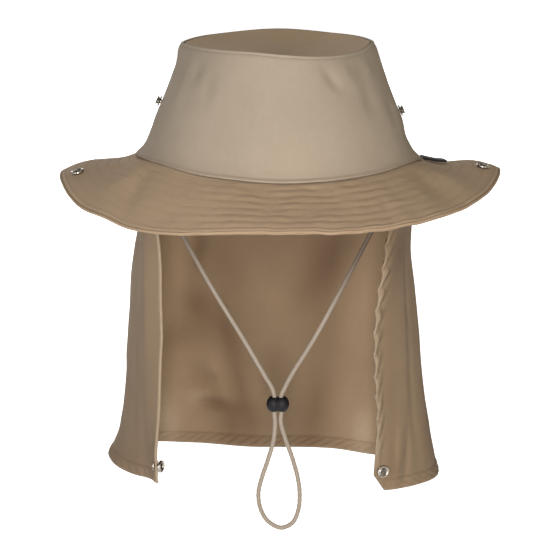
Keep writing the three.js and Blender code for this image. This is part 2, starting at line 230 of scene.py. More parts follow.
def twillPaint(name, dark, light, worn, inside=1.0):
    paint = Paint(name)
    u, v = paint.along("cloth")
    perRib, perYarn = 2 * math.pi / twill["rib"], 2 * math.pi / twill["yarn"]
    ribs = ((u + v * twill["ribSlope"]) * perRib).sine()
    yarns = (u * perYarn).sine() * (v * perYarn).sine()
    mottle = paint.noise(twill["mottle"], 4.0)
    slub = paint.noise(twill["slub"], 5.0)
    fibre = paint.noise(twill["yarn"], 2.0)
    tone = ((mottle - 0.5) * 0.9 + (slub - 0.5) * 0.45 + ribs * 0.05 + (fibre - 0.5) * 0.25 + 0.5).held()
    cloth = paint.blend(tone, colour(*dark), colour(*light))
    # Painted shade: the cloth darkens towards a deep brown where a piece marks creases, stitch lines, grooves
    # and hollows
    deep = [left * c for left, c in zip(twill["creaseShade"], dark)]
    shade = paint.blend((paint.attribute("crease") * 0.5).held(), cloth, colour(*deep))
    # Lighter edges and patches: partly wear, partly painted light and painted highlight
    edge = (paint.attribute("worn") * (0.55 + slub * 0.5)).held()
    lightened = paint.blend(edge, shade, colour(*worn))
    # The inner face: its colour scaled by inside, painted shade below 1 and painted light above 1, with warm
    # painted bounce light
    inner = paint.blend(1.0, lightened, colour(*twill["innerWarmBounce"], inside), "MULTIPLY")
    weave = ribs * 0.5 + yarns * 0.3 + fibre * 0.8 + slub * 0.6
    return paint.surface({
        "Base Color": paint.blend(paint.attribute("inner"), lightened, inner),
        "Roughness": 0.82 + slub * 0.14,
        "Normal": paint.bump(weave, twill["relief"], 0.7),
        "Sheen Weight": 0.05,
        "Sheen Roughness": 0.45,
        "Specular IOR Level": 0.25,
    })


def threadPaint(name, tone):
    paint = Paint(name)
    ply = paint.noise(0.0006)
    return paint.surface({
        "Base Color": paint.blend(ply, colour(*tone, 0.75), colour(*tone)),
        "Roughness": 0.7 + ply * 0.15,
        "Normal": paint.bump(ply, 0.0001, 0.6),
    })


# Painted shade where the cord darkens towards its two ends, which run up under the brim, in metres from its
# left end
cordEndShade = ((0.12, 0.05), (0.455, 0.515))


def cordPaint():
    paint = Paint("cordBraid")
    u, v = paint.along("cord")
    fibre = ((u * 5200 + v * 4200) + paint.noise(0.001) * 6).sine()
    speckle = paint.noise(0.0007)
    # painted shade: the braid is darker where its strands lie low between the crossings
    tone = (paint.attribute("strand") * 0.55 + speckle * 0.45 + fibre * 0.06).held()
    pale = paint.blend(paint.noise(0.03, 2.0), colour(0.545, 0.46, 0.385), colour(0.475, 0.40, 0.33))
    braid = paint.blend(tone, colour(0.19, 0.15, 0.115), pale)
    left, right = [paint.node("ShaderNodeMapRange", {"interpolation_type": "SMOOTHSTEP"},
                              {"Value": u, "From Min": near, "From Max": far}) for near, far in cordEndShade]
    # painted shade at both ends
    shadedEnds = paint.blend(left * 0.6 + right * 0.95, braid, colour(0.115, 0.082, 0.06))
    return paint.surface({
        "Base Color": shadedEnds,
        "Roughness": 0.78 + speckle * 0.12,
        "Normal": paint.bump(fibre * 0.5 + speckle, 0.00012, 0.6),
    })


def nickelPaint():
    paint = Paint("snapNickel")
    scuff = paint.noise(0.0011, 4.0)
    metal = paint.blend(paint.noise(0.004), colour(0.18, 0.155, 0.13), colour(0.48, 0.45, 0.41))
    # painted shade in the socket's recess
    base = paint.blend(paint.attribute("recessShade") * 0.85, metal, colour(0.05, 0.04, 0.033))
    return paint.surface({
        "Base Color": base,
        "Metallic": 1.0,
        "Roughness": 0.16 + scuff * 0.2,
        "Normal": paint.bump(scuff, 0.00004, 0.5),
    })


def plasticPaint():
    paint = Paint("lockPlastic")
    grain = paint.noise(0.0004)
    base = paint.blend(paint.noise(0.005, 2.0), colour(0.005, 0.0045, 0.006), colour(0.011, 0.010, 0.012))
    return paint.surface({
        "Base Color": base,
        "Roughness": 0.40 + grain * 0.2,
        "Normal": paint.bump(grain, 0.00005, 0.5),
        "Specular IOR Level": 0.2,
    })


def labelPaint():
    paint = Paint("labelCloth")
    u, v = paint.along("cloth")
    weft = (u * (2 * math.pi / 0.00045)).sine() * (v * (2 * math.pi / 0.0007)).sine()
    fuzz = paint.noise(0.0008)
    base = paint.blend((weft * 0.25 + fuzz).held(), colour(0.012, 0.011, 0.011), colour(0.045, 0.042, 0.042))
    return paint.surface({
        "Base Color": base,
        "Roughness": 0.72 + fuzz * 0.15,
        "Normal": paint.bump(weft + fuzz, 0.00012, 0.8),
        "Sheen Weight": 0.08,
    })


def floorPaint():
    paint = Paint("paleFloor")
    base = paint.blend(paint.noise(1.4, 2.0), colour(0.86, 0.86, 0.855), colour(0.9, 0.9, 0.895))
    return paint.surface({
        "Base Color": base,
        "Roughness": 0.75,
        "Emission Color": colour(1, 1, 1),
        "Emission Strength": studio["floorGlow"],
    })


def makeStage():
    half = studio["floorSize"] / 2
    corners = [(x * half, y * half, studio["floorLevel"]) for x, y in ((-1, -1), (1, -1), (1, 1), (-1, 1))]
    floor = link(makeMesh("floor", corners, [(0, 1, 2, 3)], floorPaint()), "floor")
    floor.visible_diffuse = False
    world = bpy.data.worlds.new("paleRoom")
    bpy.context.scene.world = world
    world.use_nodes = True
    room = Nodes(world.node_tree)
    seen = room.node("ShaderNodeLightPath", {}, {}, "Is Camera Ray")
    tint = room.blend(seen, colour(*studio["skyLight"]), colour(1, 1, 1))
    room.feed(world.node_tree.nodes["Background"].inputs["Color"], tint)
    bpy.context.scene.view_settings.view_transform = "Standard"


makeStage()
# One khaki cloth with its own colour on each piece: painted light and shade, warmer and more saturated as
# painted bounce light
paints = {
    "crown": twillPaint("crownTwill", (0.342, 0.279, 0.212), (0.425, 0.352, 0.274), (0.50, 0.43, 0.345), 0.8),
    "tip": twillPaint("tipTwill", (0.42, 0.31, 0.195), (0.55, 0.41, 0.27), (0.56, 0.45, 0.33), 0.8),
    "brim": twillPaint("brimTwill", (0.375, 0.268, 0.172), (0.46, 0.335, 0.222), (0.56, 0.45, 0.33)),
    "flap": twillPaint("flapTwill", (0.283, 0.199, 0.125), (0.358, 0.257, 0.168), (0.50, 0.395, 0.285), 1.09),
    "cord": cordPaint(),
    "nickel": nickelPaint(),
    "plastic": plasticPaint(),
    "label": labelPaint(),
    "thread": threadPaint("khakiThread", (0.30, 0.225, 0.155)),
    "brimThread": threadPaint("brimThread", (0.38, 0.275, 0.18)),
}
print("stage and", len(paints), "finishes made")


# Small tables: one array for each column
def table(columns, rows):
    return {name: np.array(values, float) for name, values in zip(columns.split(), zip(*rows))}


def smoothCurve(xs, ys, period=0):
    if period:
        xs = np.concatenate([[xs[-1] - period], xs, xs[:2] + period])
        ys = np.concatenate([[ys[-1]], ys, ys[:2]])
    last = len(xs) - 1
    before = np.maximum(np.arange(last + 1) - 1, 0)
    after = np.minimum(np.arange(last + 1) + 1, last)
    slopes = (ys[after] - ys[before]) / (xs[after] - xs[before])
    start = xs[1] if period else xs[0]

    def at(x):
        x = np.asarray(x, float)
        if period:
            x = start + np.mod(x - start, period)
        i = np.clip(np.searchsorted(xs, x, side="right") - 1, 0, last - 1)
        span = xs[i + 1] - xs[i]
        t = (x - xs[i]) / span
        leave = t * (1 - t) ** 2 * span * slopes[i]
        arrive = t * t * (1 - t) * span * slopes[i + 1]
        return ys[i] + (ys[i + 1] - ys[i]) * t * t * (3 - 2 * t) + leave - arrive

    return at


def curves(columns, period=0):
    key, *names = columns
    return {name: smoothCurve(columns[key], columns[name], period) for name in names}


def noiseAt(points, size, seed):
    flat = np.asarray(points).reshape(-1, 3) / size
    values = [noise.noise(Vector((x + seed, y, z))) for x, y, z in flat]
    return np.array(values).reshape(np.shape(points)[:-1])


def layered(points, layers):
    return sum(height * noiseAt(points, size, seed) for height, size, seed in layers)


def bell(x):
    return np.exp(-x * x)


def smoothStep(low, high, x):
    t = np.clip((x - low) / (high - low), 0, 1)
    return t * t * (3 - 2 * t)


def window(x, start, full, fade, end):
    return smoothStep(start, full, x) * smoothStep(end, fade, x)


def below(x, limit, soft):
    return smoothStep(limit + soft, limit - soft, x)


def grid(first, second):
    return np.meshgrid(first, second, indexing="ij")


# Dents, folds and patches of painted light and shade: each spot is a soft oval with its own lean, and angles
# go round with a full turn
def softSpots(spots, along, down, turn=0):
    total = np.zeros(np.broadcast(along, down).shape)
    for a, d, wide, tall, lean, amount in zip(*spots.values()):
        off = along - a - lean * (down - d)
        if turn:
            off = (off + turn / 2) % turn - turn / 2
        total += amount * bell(off / wide) * bell((down - d) / tall)
    return total


def runs(*zones):
    parts = [np.linspace(start, end, count, endpoint=False) for start, end, count in zones]
    return np.concatenate([*parts, [zones[-1][1]]])


# Cloth: a grid of points on the middle surface becomes one closed wall with rounded edges
def gridNormals(points, closed):
    if closed:
        across = np.roll(points, -1, 0) - np.roll(points, 1, 0)
    else:
        across = np.gradient(points, axis=0)
    found = np.cross(across, np.gradient(points, axis=1))
    return found / np.maximum(np.linalg.norm(found, axis=2, keepdims=True), 1e-12)


def lengthsAlong(points, axis):
    steps = np.linalg.norm(np.diff(points, axis=axis), axis=2)
    lengths = np.cumsum(steps, axis=axis)
    pad = [(0, 0), (0, 0)]
    pad[axis] = (1, 0)
    return np.pad(lengths, pad)


def fromEdges(points, closed):
    down = lengthsAlong(points, 1)
    nearest = np.minimum(down, down[:, -1:] - down)
    if not closed:
        along = lengthsAlong(points, 0)
        nearest = np.minimum(nearest, np.minimum(along, along[-1:, :] - along))
    return nearest


def clothPiece(name, middle, wall, paint, closed=False, flip=False, capped=False, puff=0.0, innerPuff=0.0,
               roundness=0.55, **marks):
    normals = gridNormals(middle, closed) * (-1 if flip else 1)
    away = fromEdges(middle, closed)
    if capped:
        down = lengthsAlong(middle, 1)
        away = down[:, -1:] - down
    ramp = np.sqrt(1 - (1 - np.clip(away / (wall * roundness), 0, 1)) ** 2)
    outer = middle + normals * ((wall / 2 + puff) * ramp)[..., None]
    inner = middle - normals * ((wall / 2 + innerPuff) * ramp)[..., None]
    nu, nv = away.shape
    index = np.arange(nu * nv).reshape(nu, nv)
    edge = np.zeros((nu, nv), bool)
    edge[:, -1] = True
    edge[:, 0] = not capped
    if not closed:
        edge[[0, -1], :] = True
    innerIndex = index.copy()
    innerIndex[~edge] = nu * nv + np.arange((~edge).sum())
    i, j = grid(np.arange(nu if closed else nu - 1), np.arange(nv - 1))
    ring = [(i, j), (i + 1, j), (i + 1, j + 1), (i, j + 1)]
    if flip:
        ring = ring[::-1]
    quads = [np.stack([numbers[a % nu, b] for a, b in corners], -1).reshape(-1, 4)
             for numbers, corners in ((index, ring), (innerIndex, ring[::-1]))]
    faces = np.concatenate(quads).tolist()
    if capped:
        rings = [index[:, 0].tolist(), innerIndex[:, 0].tolist()[::-1]]
        faces += [face if flip else face[::-1] for face in rings]
    points = np.concatenate([outer.reshape(-1, 3), inner[~edge]])
    data = makeMesh(name, points.tolist(), faces, paint)
    around = lengthsAlong(middle[:, nv // 2:nv // 2 + 1], 0)[:, 0]
    if closed:
        around = np.append(around, around[-1] + np.linalg.norm(middle[0, nv // 2] - middle[-1, nv // 2]))
    across = lengthsAlong(middle, 1).mean(0)
    sides = [np.stack([around[a], across[b]], -1) for a, b in ring]
    uvs = [np.stack(part, 2).reshape(-1, 2) for part in (sides, sides[::-1])]
    setUv(data, "cloth", np.concatenate([*uvs, np.zeros((2 * nu if capped else 0, 2))]))
    for key, values in {"worn": 0.0, "crease": 0.0, **marks, "inner": (0.0, 1.0)}.items():
        pair = values if isinstance(values, tuple) else (values, values)
        onOuter, onInner = [np.broadcast_to(side, (nu, nv)) for side in pair]
        setValues(data, key, np.concatenate([onOuter.reshape(-1), onInner[~edge]]))
    return link(data, name)


def finishPiece(piece, nodeName):
    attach(piece, "root")
    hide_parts(nodeName)
    return piece


# Surfaces shared by crown, brim and flap
roundTheHat = table("angle lift drop dip corner curl tuck", [
    [-180, 0.45, 0.4, 0.3, 1, 0.6, 0],
    [-168, 0.7, 0.43, 0.1, 0.2, 0.2, 0],
    [-160, 0.85, 0.61, 0, 0, 0.05, 0],
    [-151, 0.95, 0.76, -0.1, 0, 0, 0],
    [-140, 0.85, 0.82, -0.2, 0, 0, 0],
    [-126, 0.45, 0.97, -0.3, 0, 0, 0],
    [-108, 0.15, 0.87, -0.35, 0, 0, 0],
    [-90, -0.1, 0.86, 0.1, 0, 0, 0],
    [-70, 0, 0.87, 0.7, 0, 0, 0],
    [-58, 0.15, 0.84, 0.9, 0, 0, 0],
    [-45, 0.35, 0.73, 0.95, 0, 0, 0],
    [-30, 0.6, 0.6, 0.8, 0, 0, 0.1],
    [-17, 0.45, 0.39, 0.4, 0, 0.15, 0.6],
    [-9, 0.1, 0.28, 0.2, 0.4, 0.4, 0.9],
    [0, -0.2, 0.3, 0, 1, 0.8, 1],
    [12, -0.25, 0.5, 0.1, 0.2, 1, 0.9],
    [30, -0.2, 1, 0.2, 0, 0.7, 0.3],
    [55, -0.1, 1.25, 0.3, 0, 0.2, 0],
    [90, 0, 1.25, -0.1, 0, 0, 0],
    [125, 0.2, 1.2, 0.3, 0, 0.1, 0],
    [150, 0.4, 0.96, 0.3, 0, 0.5, 0],
    [168, 0.45, 0.52, 0.3, 0.2, 0.75, 0],
])
share = curves(roundTheHat, 360)

crown = {
    "seamHalfWidth": 0.095,
    "seamHalfDepth": 0.0974,
    "rimHalfWidth": 0.0607,
    "rimHalfDepth": 0.071,
    "height": 0.079,
    "wall": 0.0015,
    "footLift": 0.0004,
    "seamLift": 0.0055,
    "rimDip": 0.003,
    "cornerReach": 0.0014,
    "shift": -0.0009,
    "shiftRise": 0.2,
    "footTuck": 0.0012,
    "footTuckRise": 0.36,
    "leftFlare": 0.0018,       # how much further out the foot stands at the left seam
    "leftShoulder": 0.0018,    # and the cloth just below the rim there
    "slant": 0.083,            # the panel's length from foot to rim
    "seamGap": -0.03,          # degrees between each panel's edge and the side seam
    "rimStitch": 0.0023,       # distances of the stitch lines from the panel's edges
    "footStitch": 0.0021,
    "sideStitch": 0.0046,
    "grooveDepth": 0.0002,
    "seamPuff": 0.00014,
    "pucker": 0.00022,
    "turnedEdge": 0.0016,      # width of the rounded edges at foot and rim
    "footFade": 38,            # degrees from front and back over which the foot's turned edge fades
    "waves": ((0.0007, 0.045, 3), (0.00018, 0.012, 8)),     # height, size and seed of its unevenness
}
crownProfile = table("height side front", [
    [0, 1, 1],
    [0.04, 0.9, 0.95],
    [0.09, 0.83, 0.895],
    [0.16, 0.765, 0.82],
    [0.24, 0.7, 0.74],
    [0.33, 0.635, 0.65],
    [0.49, 0.48, 0.49],
    [0.6, 0.375, 0.385],
    [0.71, 0.28, 0.28],
    [0.82, 0.18, 0.175],
    [0.93, 0.085, 0.07],
    [1, 0, 0],
])
crownFlare = curves(crownProfile)

# Soft dents and swells of the crown: sizes in degrees and shares of the height, push in metres
crownDents = table("angle height wide tall lean push", [
    [-60, 0.81, 3.6, 0.09, -30, -0.0015],
    [-49, 0.82, 6, 0.12, -20, 0.0011],
    [-38, 0.57, 5, 0.15, 0, -0.0014],
    [-30, 0.84, 5, 0.1, 0, 0.001],
    [-141, 0.79, 5, 0.08, -12, -0.0013],
    [-129, 0.68, 4, 0.12, -6, -0.0009],
    [-150, 0.6, 6, 0.2, 0, 0.001],
    [-95, 0.45, 14, 0.25, 0, 0.0008],
    [-20, 0.45, 6, 0.2, 12, -0.001],
    [60, 0.7, 7, 0.2, 10, -0.0018],
    [82, 0.8, 8, 0.15, 0, 0.0012],
    [115, 0.65, 6, 0.2, -12, -0.0016],
    [140, 0.8, 6, 0.14, 0, 0.001],
    [35, 0.6, 7, 0.2, 0, 0.001],
])


def onEllipse(angle, halfWidth, halfDepth, z):
    turn = np.radians(angle)
    return np.stack(np.broadcast_arrays(halfWidth * np.cos(turn), halfDepth * np.sin(turn), z), -1)


def mix(a, b, t):
    return a + (b - a) * t


def seamZ(angle):
    return crown["seamLift"] * share["lift"](angle)


def rimZ(angle):
    return crown["height"] - crown["rimDip"] * share["dip"](angle)


def crownPoint(angle, height):
    sideways = np.cos(np.radians(angle)) ** 2
    flare = mix(crownFlare["front"](height), crownFlare["side"](height), sideways)
    corner = crown["cornerReach"] * share["corner"](angle) * height ** 4
    rise = np.minimum(1, height / crown["footTuckRise"])
    tuck = crown["footTuck"] * share["tuck"](angle) * np.sin(math.pi * rise) ** 2
    point = onEllipse(
        angle,
        mix(crown["rimHalfWidth"], crown["seamHalfWidth"], flare) + corner - tuck,
        mix(crown["rimHalfDepth"], crown["seamHalfDepth"], flare),
        mix(seamZ(angle) + crown["footLift"], rimZ(angle), height),
    )
    point[..., 0] += crown["shift"] * np.minimum(1, height / crown["shiftRise"])
    toLeft = (angle % 360 - 180) / 30
    point[..., 0] -= crown["leftFlare"] * bell(toLeft) * bell(height / 0.12)
    point[..., 0] -= crown["leftShoulder"] * bell(toLeft * 1.5) * bell((height - 0.96) / 0.08)
    return point


def sideSeamDistance(angle, height):
    off = np.abs((angle + 90) % 180 - 90)
    radius = mix(crown["seamHalfDepth"], crown["rimHalfDepth"], height)
    return np.radians(off) * radius


def seamRelief(distance, stitchAt):
    groove = -crown["grooveDepth"] * bell((distance - stitchAt) / 0.0008)
    swell = crown["seamPuff"] * bell((distance - stitchAt * 0.45) / (stitchAt * 0.42))
    return groove + swell


def crownSurface(angle, height):
    base = crownPoint(angle, height)
    inside = window(height, 0, 0.15, 0.93, 1)
    folds = softSpots(crownDents, angle, height, 360) * inside + layered(base, crown["waves"])
    folds *= window(height, 0, 0.1, 0.95, 1)
    return base + gridNormals(base, False) * folds[..., None]


def crownRelief(angle, height, base):
    toRim = (1 - height) * crown["slant"]
    toFoot = height * crown["slant"]
    toSide = sideSeamDistance(angle, height)
    pastRim = toRim - crown["rimStitch"]
    pastFoot = toFoot - crown["footStitch"]
    pastSide = toSide - crown["sideStitch"]
    frontal = bell((np.abs(angle) - 90) / crown["footFade"])
    relief = seamRelief(toRim, crown["rimStitch"]) + seamRelief(toFoot, crown["footStitch"]) * frontal
    relief += seamRelief(toSide, crown["sideStitch"]) * smoothStep(0.02, 0.06, height)
    nearStitch = sum(bell(past / 0.003) for past in (pastRim, pastFoot, pastSide))
    relief += crown["pucker"] * nearStitch * noiseAt(base, 0.0035, 21)
    # Lighter bands: painted highlights on the rim's top edge and on the foot at the front, and lighter along
    # the side seams. Painted shade along the stitch lines and at the foot, strongest at the sides.
    worn = 0.4 * bell(toRim / 0.0014) + 0.3 * frontal * bell((toFoot - 0.0003) / 0.0006)
    worn += 0.2 * bell(toSide / 0.002)
    crease = 0.3 * bell(pastRim / 0.0006) + 0.35 * bell(pastSide / 0.0006)
    crease += 0.85 * frontal * bell(pastFoot / 0.0007) + 0.16 * bell((toFoot - 0.003) / 0.005)
    crease += (0.22 + 0.6 * (1 - frontal)) * bell(toFoot / 0.0013)
    return relief, np.clip(worn, 0, 1), np.clip(crease, 0, 1)


def makeCrownPanel(name, nodeName, start, end):
    edge = crown["turnedEdge"] / crown["slant"]
    angles = runs((start, start + 0.9, 4), (start + 0.9, start + 6, 12), (start + 6, end - 6, 150),
                  (end - 6, end - 0.9, 12), (end - 0.9, end, 4))
    heights = runs((0, edge, 4), (edge, 0.07, 9), (0.07, 0.9, 44), (0.9, 1 - edge, 14), (1 - edge, 1, 4))
    angle, height = grid(angles, heights)
    middle = crownSurface(angle, height)
    relief, worn, crease = crownRelief(angle, height, middle)
    piece = clothPiece(name, middle, crown["wall"], paints["crown"], puff=relief, innerPuff=relief * 0.3,
                       worn=worn, crease=crease)
    return finishPiece(piece, nodeName)


crownPanels = {                # each panel's node, and the angles where it starts and ends
    "crownFrontPanel": ("crown_front", -180 + crown["seamGap"], -crown["seamGap"]),
    "crownBackPanel": ("crown_back", crown["seamGap"], 180 - crown["seamGap"]),
}
for panelName, panelFacts in crownPanels.items():
    makeCrownPanel(panelName, *panelFacts)
print("crown panels made")

tip = {
    "wall": 0.0016,
    "sag": 0.006,
    "flatness": 3,
    "edge": 0.0010,            # distance from the panel's middle surface at the rim
    "clearance": 0.0001,
    "waves": ((0.0011, 0.03, 31), (0.00044, 0.011, 33)),
}


def makeTip():
    angles = np.linspace(-180, 180, 192, endpoint=False)
    reaches = runs((0.004, 0.9, 40), (0.9, 0.985, 8), (0.985, 1.0, 5))
    angle, reach = grid(angles, reaches)
    rim = crownPoint(angle, np.ones_like(angle))
    flat = rim[..., :2]
    length = np.linalg.norm(flat, axis=-1, keepdims=True)
    flat = flat * (length - tip["edge"]) / length * reach[..., None]
    sunk = tip["clearance"] + tip["sag"] * (1 - reach ** tip["flatness"])
    z = mix(crown["height"], rim[..., 2], reach) - sunk - tip["wall"] / 2
    middle = np.concatenate([flat, z[..., None]], -1)
    middle[..., 2] += layered(middle, tip["waves"]) * smoothStep(1.0, 0.85, reach)
    # painted highlight and painted shadow along the tip's edge under the rim
    worn = 0.2 * bell((1 - reach) / 0.02)
    crease = 0.3 * bell((1 - reach) / 0.006)
    piece = clothPiece("crownTipPanel", middle, tip["wall"], paints["tip"], closed=True, flip=True,
                       capped=True, worn=worn, crease=crease)
    return finishPiece(piece, "crown_tip")


makeTip()
print("crown tip made")

brim = {
    "halfWidth": 0.1478,
    "halfDepth": 0.151,
    "drop": 0.026,
    "wall": 0.0021,
    "curl": 0.0025,
    "allowance": 0.007,
    "rows": 6,                 # stitched rings between the seam and the edge's own row
    "firstRow": 0.115,
    "lastRow": 0.79,
    "edgeRow": 0.92,
    "rowWander": ((0.013, 0.16, 51), (0.0104, 0.05, 53)),
    "puff": 0.00042,
    "roundness": 0.75,         # of the cloth between two rows
    "rowShade": 0.38,
    "pucker": 0.0007,
    "edgeWave": 0.0011,
    "lipGroove": 0.0013,       # from the edge to the groove between its two layers
    "waves": ((0.0005, 0.03, 41),),
    "pinch": ((1.2, 0.012, 61), (0.6, 0.005, 67)),     # how unevenly the rows puff up
}
brimShape = table("angle ripple wave", [
    [-180, 0.15, 0],
    [-160, 0.12, 0.2],
    [-145, 0.1, -0.4],
    [-128, 0.16, -0.8],
    [-118, 0.5, -1.4],
    [-107, 0.85, -1],
    [-96, 1.05, 0.6],
    [-84, 1.15, 0.5],
    [-70, 1.15, 0.2],
    [-55, 1, 0.3],
    [-40, 0.6, 0.4],
    [-22, 0.25, 0],
    [0, 0.2, 0],
    [30, 0.35, 0.5],
    [60, 0.6, -0.7],
    [90, 0.8, 0.6],
    [120, 0.6, -0.6],
    [150, 0.35, 0.5],
])
brimShare = curves(brimShape, 360)
brimBand = brim["halfWidth"] - crown["seamHalfWidth"]
sewnRows = np.linspace(brim["firstRow"], brim["lastRow"], brim["rows"])
rowReaches = np.array([0.0, *sewnRows, brim["edgeRow"], 1.0])

# Broad soft folds of the brim
brimDents = table("angle reach wide deep lean push", [
    [-140, 0.5, 4, 0.4, 16, -0.0024],
    [-150, 0.45, 5, 0.35, 10, 0.0018],
    [-130, 0.5, 5, 0.35, 12, 0.0012],
    [-166, 0.4, 5, 0.3, 0, -0.0012],
    [-36, 0.5, 5, 0.4, -12, -0.0018],
    [-26, 0.55, 5, 0.4, -8, 0.0016],
    [-12, 0.4, 5, 0.3, 0, -0.0009],
    [-74, 0.3, 4, 0.25, 8, -0.0006],
    [70, 0.5, 9, 0.5, 10, 0.0016],
    [105, 0.5, 9, 0.5, -10, -0.0014],
    [140, 0.5, 7, 0.5, 8, 0.0012],
])


def brimPoint(angle, reach):
    start = seamZ(angle) - brim["wall"] / 2
    out = np.maximum(reach, 0)
    curl = -brim["curl"] * share["curl"](angle) * np.sin(2 * math.pi * out)
    return onEllipse(
        angle,
        mix(crown["seamHalfWidth"], brim["halfWidth"], reach),
        mix(crown["seamHalfDepth"], brim["halfDepth"], reach),
        mix(start, -brim["drop"] * share["drop"](angle), out) + curl,
    )


def brimSurface(angle, reach):
    base = brimPoint(angle, reach)
    out = np.clip(reach, 0, 1)
    lift = brim["edgeWave"] * brimShare["wave"](angle) * out ** 2 + softSpots(brimDents, angle, out, 360)
    lift += layered(base, brim["waves"])
    slanted = np.stack([np.radians(angle) * 0.11 + out * 0.02, out * 0.016, np.zeros_like(out)], -1)
    lift += brim["pucker"] * brimShare["ripple"](angle) * noiseAt(slanted, 0.009, 47)
    base[..., 2] += lift * window(out, 0, 0.15, 0.9, 1.3)
    return base


def rowWander(angle):
    turn = np.radians(angle)
    ring = np.stack([np.cos(turn), np.sin(turn), np.zeros_like(turn)], -1)
    return layered(ring, brim["rowWander"])


def rowNumber(angle, reach):
    ease = np.sin(math.pi * np.clip(reach, 0, 1))
    return np.interp(reach - rowWander(angle) * ease, rowReaches, np.arange(len(rowReaches)))


# Geometry Nodes: a tree is written with named inputs, run once on an object and baked to a plain mesh
class Tree(Nodes):
    def __init__(self, name, inputs):
        super().__init__(bpy.data.node_groups.new(name, "GeometryNodeTree"))
        sockets = self.tree.interface
        sockets.new_socket("Geometry", in_out="INPUT", socket_type="NodeSocketGeometry")
        for label, value in inputs.items():
            kind = "NodeSocketInt" if isinstance(value, int) else "NodeSocketFloat"
            sockets.new_socket(label, in_out="INPUT", socket_type=kind).default_value = value
        sockets.new_socket("Material", in_out="INPUT", socket_type="NodeSocketMaterial")
        sockets.new_socket("Geometry", in_out="OUTPUT", socket_type="NodeSocketGeometry")
        self.start = self.tree.nodes.new("NodeGroupInput")

    def given(self, label):
        return Wire(self, self.start.outputs[label])

    def close(self, geometry):
        real = self.node("GeometryNodeRealizeInstances", {}, {"Geometry": geometry})
        sockets = {"Geometry": real, "Material": self.given("Material")}
        painted = self.node("GeometryNodeSetMaterial", {}, sockets)
        self.feed(self.tree.nodes.new("NodeGroupOutput").inputs[0], painted)
        return self.tree


def bakeTree(thing, tree, name, values):
    modifier = thing.modifiers.new(name, "NODES")
    modifier.node_group = tree
    for item in tree.interface.items_tree:
        if item.in_out == "INPUT" and item.name in values:
            modifier[item.identifier] = values[item.name]
    data = evaluatedMesh(thing)
    bpy.data.objects.remove(thing)
    data.name = name
    return link(data, name)


def quiltTree():
    quilt = Tree("stitchedRows", {"Puff": 0.0005, "Roundness": 0.6})
    row, height = [quilt.node("GeometryNodeInputNamedAttribute", {"data_type": "FLOAT"}, {"Name": name})
                   for name in ("row", "quilt")]
    wave = (row * math.pi).sine().math("ABSOLUTE")
    push = wave ** quilt.given("Roundness") * height * quilt.given("Puff")
    normal = quilt.node("GeometryNodeInputNormal", {}, {})
    offset = quilt.node("ShaderNodeVectorMath", {"operation": "SCALE"}, {0: normal, "Scale": push})
    sockets = {"Geometry": quilt.given("Geometry"), "Offset": offset}
    return quilt.close(quilt.node("GeometryNodeSetPosition", {}, sockets))


def makeBrim():
    inner = -brim["allowance"] / brimBand
    angles = np.linspace(-180, 180, 440, endpoint=False)
    reaches = runs((inner, inner + 0.02, 3), (inner + 0.02, 0.0, 4), (0.0, 0.86, 56),
                   (0.86, 0.95, 9), (0.95, 1.0, 14))
    angle, reach = grid(angles, reaches)
    middle = brimSurface(angle, reach)
    row = rowNumber(angle, reach)
    ripple = brimShare["ripple"](angle)
    pinch = layered(middle, brim["pinch"])
    quilt = ripple * np.maximum(0.15, 1 + pinch) * window(reach, 0, 0.03, 0.985, 1)
    toEdge = (1 - reach) * brimBand
    groove = bell((toEdge - brim["lipGroove"]) / 0.0005)
    # Painted shade in the valleys between the rows, at the edge's stitch row, in the lip's groove and at the
    # very edge
    valley = (1 - np.abs(np.sin(math.pi * row))) ** 3
    crease = np.clip(brim["rowShade"] * valley * smoothStep(0.02, 0.1, reach) * ripple * (1 + pinch), 0, 1)
    crease += 0.6 * bell((reach - brim["edgeRow"]) / 0.008) + 1.5 * groove + 0.15 * bell(toEdge / 0.0005)
    # Painted highlight on the lip beside its groove, and painted light beside the seam that lightens its
    # shadow
    worn = 0.3 * bell((toEdge - 2 * brim["lipGroove"]) / 0.0008) + 0.4 * bell(reach / 0.02)
    cloth = clothPiece("brimCloth", middle, brim["wall"], paints["brim"], closed=True, flip=True,
                       roundness=0.35, puff=-0.0005 * groove, row=row, quilt=quilt, crease=crease, worn=worn)
    values = {"Puff": brim["puff"], "Roundness": brim["roundness"], "Material": paints["brim"]}
    return finishPiece(bakeTree(cloth, quiltTree(), "brimPanel", values), "brim")


makeBrim()
print("brim made")

